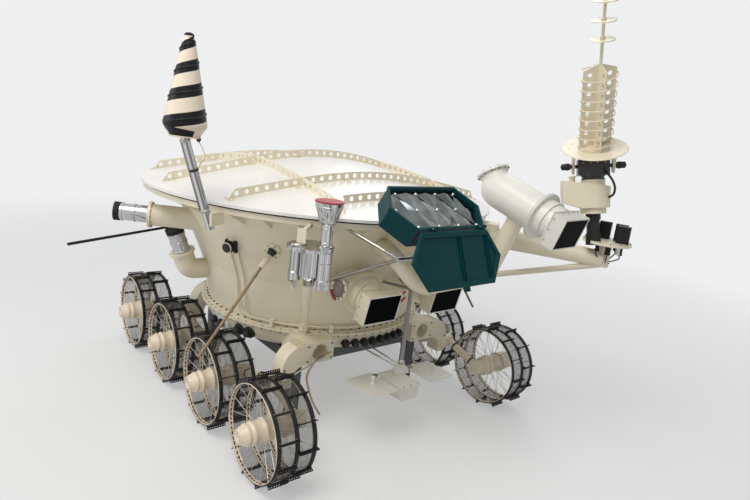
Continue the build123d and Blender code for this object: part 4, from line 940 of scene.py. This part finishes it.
for side in (-1, 1):
    mouth = aimed((side * 0.230, -0.967, 0.376), 0, 12.5)
    hood_details(mouth, white_enamel)
    off = Vector((side * 0.128, 0, 0.012))
    port = frame_at(mouth @ Vector((0, 0, -EYE_LONG - 0.036)) + off, off)
    camera_bolts.bolt_ring(port, 0.0525, 10, 0.0042, bolt_dark)
    camera_bolts.turned([(0.044, 0.0), (0.044, 0.006), (0.040, 0.009), (0.0, 0.009)], port_glass, port, 32)
    turns = [radians(200 + 8 * k) for k in range(9)]
    red_arc = [port @ Vector((0.0575 * cos(a), 0.0575 * sin(a), 0.0045)) for a in turns]
    camera_bolts.tube(red_arc, 0.0085, dull_red, 8)
mast_mouth = aimed((0.345, -1.564, 0.878), 3.1, 17.6)
hood_details(mast_mouth, grey_white)
port_line = mast_mouth.to_3x3() @ Vector((0, 0.60, -0.80))
mast_port = frame_at(mast_mouth @ Vector((0, 0, -EYE_LONG - 0.270)) + port_line * 0.104, port_line)
camera_bolts.bolt_ring(mast_port, 0.0775, 12, 0.0048, bolt_dark)
camera_bolts.turned([(0.066, 0.0), (0.066, 0.005), (0.060, 0.008), (0.0, 0.010)], grey_white, mast_port, 40)
camera_bolts.bolt_ring(mast_port @ shift((0, 0, -0.010)) @ spun(pi, "X"), 0.0790, 12, 0.0042, bolt_dark)
for at in ((-0.110, -0.9725, 0.452), (-0.112, -0.9790, 0.422)):
    camera_bolts.box((0.034, 0.003, 0.013), dull_red, shift(at) @ spun(-0.6, "Y"))
camera_bolts.made("hull", "cream_paint")

# Panoramic cameras: bolts on their collars, bands on the barrels, lids on the caps
# knee, tip, where the barrel starts between them
PAN_ROWS = [((-0.898, 0.075, 0.648), (-1.163, 0.228, 0.658), 0.42),
            ((-0.790, 0.120, 0.330), (-0.882, 0.120, 0.575), 0.46)]
CAP_ROWS = [(0.0500, -0.006), (0.0512, -0.004), (0.0512, 0.0), (0.0440, 0.0012), (0.0430, -0.001),
            (0.0, -0.001)]
pan_bits = Piece("pan_camera_details")
for side in (1, -1):
    for knee_at, tip_at, share in PAN_ROWS:
        knee = mirrored(knee_at, side)
        tip = mirrored(tip_at, side)
        neck_at = knee.lerp(tip, share)
        line = (tip - knee).normalized()
        long = (knee.lerp(tip, 0.9) - neck_at).length
        pan_bits.bolt_ring(frame_at(neck_at - 0.014 * line, -line), 0.0655, 12, 0.0036, bolt_dark)
        for s in (0.006, long * 0.5, long - 0.010):
            pan_bits.band(0.0460, 0.0495, s, 0.005, bright, frame_at(neck_at, line), 40)
        pan_bits.turned(CAP_ROWS, rubber, frame_at(tip, line), 40)
        pan_bits.bolt_ring(frame_at(tip, line), 0.0475, 8, 0.0022, bolt_dark)
pan_bits.made("hull", "bright_metal")

# Laser reflector, as long and high as the photograph shows it, on the hinge of its CAD pieces
FACE_TILT = 33.0
FACE_AT = (-0.180, -1.215, 0.955)
BOX_MID_U = -0.033
BOX_MID_V = -0.007
BOX_MID = (BOX_MID_U, BOX_MID_V)
BOX_HALF = 0.207
BOX_POINT = 0.072
BOX_HALF_HIGH = 0.129
BOX_DEEP = 0.112
MIRROR_DEEP = 0.024
PIN_V = -0.148
PIN_W = 0.008
EAR_SPREAD = 0.150
COVER_OPEN = 214.0
COVER_LAP = 0.014
COVER_HALF_HIGH = 0.123
COVER_MID = (BOX_MID_U, COVER_LAP + COVER_HALF_HIGH)


def tilted(origin, degrees):
    """A place whose x is level and whose z is tipped forward from straight up."""
    a = radians(degrees)
    return frame_at(origin, (0, -sin(a), cos(a)), (1, 0, 0))


def long_hexagon(grow, mid, half_high):
    """Six corners of a long hexagon, grown outward."""
    high = half_high + grow
    tip = BOX_HALF + BOX_POINT + grow * 1.2
    half = BOX_HALF + grow * 0.3
    u, v = mid
    return [(u - half, v - high), (u + half, v - high), (u + tip, v), (u + half, v + high),
            (u - half, v + high), (u - tip, v)]


def shell(p, levels, mid, half_high, place):
    """A closed shell through hexagons, each grown by an amount and set at a height."""
    loops = [[(u, v, w) for u, v in long_hexagon(grow, mid, half_high)] for grow, w in levels]
    for lower, upper in zip(loops, loops[1:]):
        p.add(lower + upper, joining(6), teal, place)
    p.add(loops[0], [(5, 4, 3, 2, 1, 0)], teal, place)
    p.add(loops[-1], [(0, 1, 2, 3, 4, 5)], teal, place)


FACE = tilted(FACE_AT, FACE_TILT)
# grown by, height
BOX_LEVELS = [(-0.003, -BOX_DEEP), (0.0, -BOX_DEEP + 0.003), (0.0, -0.015), (0.004, -0.014), (0.004, -0.0015),
              (0.0025, 0.0), (-0.0065, 0.0), (-0.008, -0.0015), (-0.008, -0.004), (-0.012, -0.005),
              (-0.012, -MIRROR_DEEP - 0.008)]
# distance up the face from the pin, distance out of the face from the pin
EAR_ROWS = [(0.016, -0.036), (0.016, -0.008), (0.005, 0.006), (-0.007, 0.005), (-0.008, -0.004)]
reflector = Piece("reflector_box_look")
shell(reflector, BOX_LEVELS, BOX_MID, BOX_HALF_HIGH, FACE)
# Two thin black strips on the box's bottom wall: painted shade in two grooves
for u in (0.018, 0.042):
    groove_shade_at = FACE @ shift((BOX_MID_U - BOX_HALF + u, BOX_MID_V - BOX_HALF_HIGH, -0.062))
    reflector.box((0.009, 0.0016, 0.082), black_matte, groove_shade_at)
for u in (-0.150, -0.075, 0.0, 0.075, 0.150):
    for side in (-1, 1):
        reflector.bolt((BOX_MID_U + u, BOX_MID_V + side * (BOX_HALF_HIGH + 0.004), -0.008), (0, side, 0),
                       0.003, 0.002, bolt_dark, FACE)
for x in (-EAR_SPREAD, EAR_SPREAD):
    for middle in (x - 0.016, x + 0.016):
        ear = [(middle + t, PIN_V + v, PIN_W + w) for t in (-0.003, 0.003) for v, w in EAR_ROWS]
        reflector.prism(ear, teal, FACE)
    pin = [FACE @ Vector((x + t, PIN_V, PIN_W)) for t in (-0.0225, -0.020, 0.020, 0.0225)]
    reflector.tube(pin, 0.0040, steel, 16)
reflector.tube([(0.130, -1.180, 0.850), (0.085, -1.184, 0.862), (0.030, -1.190, 0.874)], 0.010, steel, 16)
reflector.made("hull", "teal_paint", "reflector_box")

# Quilted mirror: rows of studs, each row half a pitch from the next, and puffed facets between them
HALF_PITCH_U = 0.062
STUD_PITCH_V = 0.102
STUD_SHIFT = 0.012
PUFF = 0.009
GLASS = FACE @ shift((0, 0, -MIRROR_DEEP))
columns = range(-6, 7)
rows = range(-3, 4)
work = bmesh.new()
spots = {}
for j in rows:
    for i in columns:
        at = (i * HALF_PITCH_U + BOX_MID_U + STUD_SHIFT, j * STUD_PITCH_V + BOX_MID_V, (i + j) % 2 * PUFF)
        spots[i, j] = work.verts.new(at)
for j in rows[:-1]:
    for i in columns[:-1]:
        a, b, c, d = (spots[i, j], spots[i + 1, j], spots[i + 1, j + 1], spots[i, j + 1])
        for corners in ((a, b, d), (b, c, d)) if (i + j) % 2 else ((a, b, c), (a, c, d)):
            work.faces.new(corners)
border = long_hexagon(-0.0118, BOX_MID, BOX_HALF_HIGH)
for (u0, v0), (u1, v1) in zip(border, border[1:] + border[:1]):
    bmesh.ops.bisect_plane(work, geom=work.verts[:] + work.edges[:] + work.faces[:], plane_co=(u0, v0, 0),
                           plane_no=(v1 - v0, u0 - u1, 0), clear_outer=True)
work.verts.ensure_lookup_table()
work.verts.index_update()
quilt = Piece("reflector_mirror")
quilt.add([v.co for v in work.verts], [[v.index for v in face.verts] for face in work.faces], mirror, GLASS)
work.free()
STUD_ROWS = [(0.0085, -0.002), (0.0085, 0.0035), (0.0065, 0.0070), (0.0035, 0.0090), (0.0, 0.0096)]
for j in (-1, 0, 1):
    for i in range(-5, 6):
        u = i * HALF_PITCH_U + STUD_SHIFT
        v = j * STUD_PITCH_V
        reach = BOX_HALF + BOX_POINT * (1 - abs(v) / BOX_HALF_HIGH) - 0.02
        if (i + j) % 2 == 0 and abs(u) < reach:
            quilt.turned(STUD_ROWS, bright, GLASS @ shift((u + BOX_MID_U, v + BOX_MID_V, 0)), 16)
quilt.made("hull", "quilted_glass", "reflector_prisms")

# Reflector's cover: a shallow tray with two pairs of ribs, bolts, a catch and hinge lugs
pin_at = FACE @ Vector((0, PIN_V, PIN_W))
COVER = tilted((FACE_AT[0], pin_at.y, pin_at.z), FACE_TILT + COVER_OPEN)
TRAY_LEVELS = [(-0.030, 0.007), (-0.026, 0.006), (-0.024, -0.0005), (-0.022, -0.002), (-0.003, -0.002),
               (0.0, 0.0), (0.0, 0.012), (-0.003, 0.014)]
LUG_ROWS = [(-0.007, -0.006), (-0.007, 0.007), (COVER_LAP + 0.010, 0.012), (COVER_LAP + 0.010, -0.001)]
cover = Piece("reflector_cover_look")
shell(cover, TRAY_LEVELS, COVER_MID, COVER_HALF_HIGH, COVER)
for u in (0.0135, 0.0265, 0.1885, 0.2015):
    rib = COVER @ shift((BOX_MID_U + u, COVER_MID[1], 0.0035))
    cover.box((0.0035, 2 * COVER_HALF_HIGH - 0.056, 0.009), teal, rib)
for u in (-0.185, -0.110, -0.035, 0.040, 0.115, 0.190):
    for side in (-1, 1):
        cover.bolt((BOX_MID_U + u, COVER_MID[1] + side * (COVER_HALF_HIGH - 0.012), -0.002), DOWN,
                   0.003, 0.0015, teal, COVER)
catch = COVER @ shift((BOX_MID_U + 0.018, COVER_MID[1] + COVER_HALF_HIGH + 0.010, 0.003))
cover.box((0.040, 0.022, 0.004), teal, catch)
cover.box((0.012, 0.012, 0.012), black_matte, catch @ shift((0.008, 0.004, 0.0)))
for x in (-EAR_SPREAD, EAR_SPREAD):
    cover.prism([(x + t, y, z) for t in (-0.0105, 0.0105) for y, z in LUG_ROWS], teal, COVER)
cover.made("cover", "teal_paint", "reflector_cover")

# Cone antenna: raised edge of the bands, foot ring, boot, cable loop, thin rod, and clamps on the tube
CONE_ROWS = [(0.0, 0.064), (0.004, 0.064), (0.046, 0.091), (0.058, 0.092), (0.078, 0.088), (0.396, 0.026),
             (0.402, 0.020)]
CONE = frame_at(CONE_FOOT, (0.01047, 0, 0.99995), (1, 0, 0))
TUBE = frame_at(TUBE_FOOT, TUBE_UP, TUBE_SIDE)
MIDDLE_CLAMP = 0.264


def cone_radius(height):
    """Radius of the cone at a height over its foot."""
    for (h0, r0), (h1, r1) in zip(CONE_ROWS, CONE_ROWS[1:]):
        if height <= h1:
            return r0 + (r1 - r0) * (height - h0) / (h1 - h0)
    return CONE_ROWS[-1][1]


cone_bits = Piece("cone_details")
edge = []
for i in range(-4, 93):
    turns = i / 30
    h = STRIPE_AT + CONE_PITCH * turns - 0.005 * turns ** 2
    a = STRIPE_TURN + 2 * pi * turns
    r = cone_radius(h) + 0.0008
    edge.append(CONE @ Vector((r * cos(a), r * sin(a), h)))
cone_bits.tube(edge, 0.0034, black_paint, 8)
cone_bits.turned([(0.0640, -0.001), (0.0665, -0.001), (0.0670, 0.001), (0.0670, 0.0035), (0.0650, 0.0050)],
                 cream_hub, CONE, 48)
for s in (0.070, MIDDLE_CLAMP, 0.395):
    cone_bits.band(0.0190, 0.0212, s, 0.007, bolt_dark if s == MIDDLE_CLAMP else steel, TUBE, 32)
cone_bits.tube([TUBE @ Vector((-0.0173, 0.0158, s)) for s in (0.075, 0.2, 0.3, 0.402)], 0.0034, steel, 10)
boot = CONE @ Vector((0.046, -0.040, -0.0005))
clamp_at = TUBE @ Vector((0.016, -0.014, MIDDLE_CLAMP))
cone_bits.tube([boot + Vector((0, 0, z)) for z in (0.001, -0.006, -0.014)], [0.011, 0.010, 0.006], rubber, 16)
cone_bits.tube(smoothed([boot + Vector((0, 0, -0.012)), boot + Vector((0.016, -0.014, -0.045)),
                         boot + Vector((0.022, -0.020, -0.080)), clamp_at + Vector((0.008, -0.006, 0.030)),
                         clamp_at]), 0.0026, cream_hub, 8)
cone_bits.made("hull", "black_rubber")

# Lid: small bolted plates at the ribs' crossings and ends
LID_TOP = 0.8403
LID_RADIUS = 1.058
CAP_RADIUS = 0.420
SLOPE = 0.22
BALL = CAP_RADIUS * hypot(1, SLOPE) / SLOPE
BALL_MID = LID_TOP + SLOPE * (LID_RADIUS - CAP_RADIUS) - sqrt(BALL ** 2 - CAP_RADIUS ** 2)
RIB_X = 0.466
RIB_Y = (-0.5, 0.0, 0.5)
END_X = {-0.5: 0.86, 0.0: 0.95, 0.5: 0.86}


def dome(x, y):
    """Height of the lid's outer skin at a place."""
    r = hypot(x, y)
    if r >= CAP_RADIUS:
        return LID_TOP + SLOPE * (LID_RADIUS - r)
    return BALL_MID + sqrt(BALL ** 2 - r ** 2)


def skin_place(x, y):
    """A place on the lid's skin, its z out of the skin."""
    step = 0.004
    z_axis = Vector((dome(x - step, y) - dome(x + step, y), dome(x, y - step) - dome(x, y + step), 2 * step))
    return frame_at((x, y, dome(x, y)), z_axis, (1, 0, 0))


lid_plates = Piece("lid_plates")
# x and y of a bolted plate: round the crossings, at the ends of the long ribs, on the cross ribs
plate_rows = [(sx * RIB_X + out * 0.034, y + up * 0.020) for sx in (-1, 1) for y in RIB_Y
              for out in (-1, 1) for up in (-1, 1)]
plate_rows += [(sx * RIB_X + out * 0.030, -0.756) for sx in (-1, 1) for out in (-1, 1)]
plate_rows += [(sx * x, y + up * 0.016) for y in RIB_Y for x in (END_X[y], 0.2) for sx in (-1, 1)
               for up in (-1, 1)]
for x, y in plate_rows:
    place = skin_place(x, y)
    lid_plates.box((0.040, 0.024, 0.003), cream, place @ shift((0, 0, 0.0012)))
    for u in (-0.011, 0.011):
        lid_plates.bolt((u, 0, 0.0027), UP, 0.0036, 0.003, steel, place)
lid_plates.made("lid", "cream_paint")

# Spectrometer: studs, hinges and bolts on its flaps and box
FLAP_TOP = -0.050
STUD_SHAPE = [(0.013, 0.0), (0.013, 0.003), (0.006, 0.006), (0.006, 0.024), (0.009, 0.026), (0.009, 0.038),
              (0.005, 0.042), (0.0, 0.042)]
fittings = Piece("instrument_fittings")
for x, y in ((-0.200, -0.925), (0.215, -0.950)):
    fittings.turned(STUD_SHAPE, white_enamel, shift((x, y, FLAP_TOP)), 20)
for x in (-0.145, -0.130, 0.110, 0.125):
    fittings.box((0.010, 0.024, 0.007), steel, shift((x, -0.868, FLAP_TOP + 0.006)))
for x, y in ((0.000, -0.858), (0.070, -0.858), (0.000, -0.902), (0.070, -0.902)):
    fittings.bolt((x, y, FLAP_TOP), UP, 0.0045, 0.004, steel)
fittings.turned([(0.0155, -0.006), (0.0185, -0.004), (0.0185, 0.010), (0.0150, 0.012), (0.0110, 0.020)],
                steel, shift((0.035, -0.880, 0.0)), 24)
for x, y in ((-0.080, -0.858), (-0.080, -1.036), (0.022, -1.036), (-0.029, -1.036)):
    fittings.bolt((x, y, FLAP_TOP), UP, 0.0035, 0.003, bolt_dark)
fittings.box((0.014, 0.006, 0.004), white_enamel, shift((-0.055, -0.990, FLAP_TOP + 0.002)))

# Photometer: bolts on its top, rings on the canister, the spike and the funnel
METER = frame_at(METER_AT, UP, METER_SIDE)
fittings.bolt_ring(METER @ shift((0, 0, 0.014)), 0.094, 10, 0.0036, steel)
for z in (-0.157, -0.138, -0.060, -0.012):
    fittings.band(0.0360, 0.0385, z, 0.003, bright, METER @ shift((0.064, 0, 0)), 36)
for k in range(9):
    z = -0.192 + 0.0038 * k
    r = 0.0085 + 0.0002 * k
    fittings.turned([(r - 0.001, z - 0.0015), (r + 0.0012, z), (r - 0.001, z + 0.0015)], steel,
                    METER @ shift((-0.064, 0, 0)), 16)
for z, r in ((0.034, 0.026), (0.100, 0.026), (0.196, 0.0615)):
    fittings.band(r, r + 0.002, z, 0.002, bright, METER @ shift((0.066, 0, 0)), 36)

# Stand: bolts at its corners
for sx in (-1, 1):
    for sy in (-1, 1):
        for z in (-0.016, -0.044):
            fittings.bolt((sx * 0.430, sy * 0.550, z), (0, sy, 0), 0.007, 0.004, bolt_dark)
        for y in (-0.016, 0.016):
            fittings.bolt((sx * 0.460, sy * 0.520 + y, -0.030), (sx, 0, 0), 0.007, 0.004, bolt_dark)
fittings.made("hull", "grey_metal")

# Floor, which fades into the backdrop with distance but keeps its shadow
BACKDROP = (0.86, 0.865, 0.87)
FLOOR_HALF = 40.0
FADE_FROM = 1.8
FADE_TO = 6.5


def shown_rays(tree):
    """1 for rays from the camera, from gloss and through glass."""
    rays = add_node(tree, "LightPath")
    through = Term(tree, rays["Is Glossy Ray"]).op("MAXIMUM", rays["Is Transmission Ray"])
    return Term(tree, rays["Is Camera Ray"]).op("MAXIMUM", through)


floor_finish = mottled("studio_floor", 1.5, ((0.78, 0.78, 0.77), (0.82, 0.82, 0.81)), 12.0, (0.6, 0.75))
floor_x, floor_y = floor_finish.placed(ORIGIN)[:2]
away = (floor_x * floor_x + floor_y * floor_y).op("SQRT")
lift = floor_finish.spread(away, 0.40, 1.0, FADE_FROM, FADE_TO) * shown_rays(floor_finish.tree)
glow = floor_finish.node("Emission", {"Color": BACKDROP})["Emission"]
lit = floor_finish.shader.outputs["BSDF"]
blend = floor_finish.node("MixShader", {"Fac": lift, 1: lit, 2: glow})["Shader"]
floor_finish.tree.links.new(blend, floor_finish.tree.nodes["Material Output"].inputs["Surface"])
floor_mesh = bpy.data.meshes.new("floor")
corners = [(x * FLOOR_HALF, y * FLOOR_HALF, GROUND) for x, y in ((-1, -1), (1, -1), (1, 1), (-1, 1))]
floor_mesh.from_pydata(corners, [], [(0, 1, 2, 3)])
floor_mesh.materials.append(floor_finish.mat)
in_scene("floor", floor_mesh)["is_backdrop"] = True

# Sky that lights the object, and a plain backdrop that the shown rays see in its place
SKY_TINT = (0.80, 0.82, 0.85)
SKY_STRENGTH = 0.45
world = bpy.data.worlds.new("studio")
bpy.context.scene.world = world
world.use_nodes = True
tree = world.node_tree
sky = tree.nodes["Background"]
feed(tree, SKY_TINT, sky.inputs["Color"])
feed(tree, SKY_STRENGTH, sky.inputs["Strength"])
backdrop = add_node(tree, "Background", {"Color": BACKDROP})["Background"]
mix = {"Fac": shown_rays(tree), 1: sky.outputs["Background"], 2: backdrop}
choice = add_node(tree, "MixShader", mix)["Shader"]
tree.links.new(choice, tree.nodes["World Output"].inputs["Surface"])


def lamp(name, at, target, size, power, tint):
    """A soft rectangular lamp that faces a point."""
    data = bpy.data.lights.new(name, "AREA")
    data.shape = "RECTANGLE"
    data.size, data.size_y = size
    data.energy = power
    data.color = tint
    look = (Vector(target) - Vector(at)).to_track_quat("-Z", "Y").to_matrix().to_4x4()
    in_scene(name, data, shift(at) @ look)


# name, place, point that it faces, size, power, tint
LAMPS = [("key", (-2.6, -1.6, 4.4), (0, -0.2, 0.3), (2.6, 2.6), 142.0, (1.0, 0.97, 0.92)),
         ("fill", (-4.6, 1.6, 2.2), (0, 0, 0.3), (2.4, 2.4), 45.0, (0.93, 0.96, 1.0)),
         ("far", (3.4, 2.2, 4.2), (0, 0, 0.4), (3.0, 2.4), 64.0, (0.95, 0.97, 1.0))]
for row in LAMPS:
    lamp(*row)

bpy.context.scene.view_settings.view_transform = "Standard"

low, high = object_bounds()
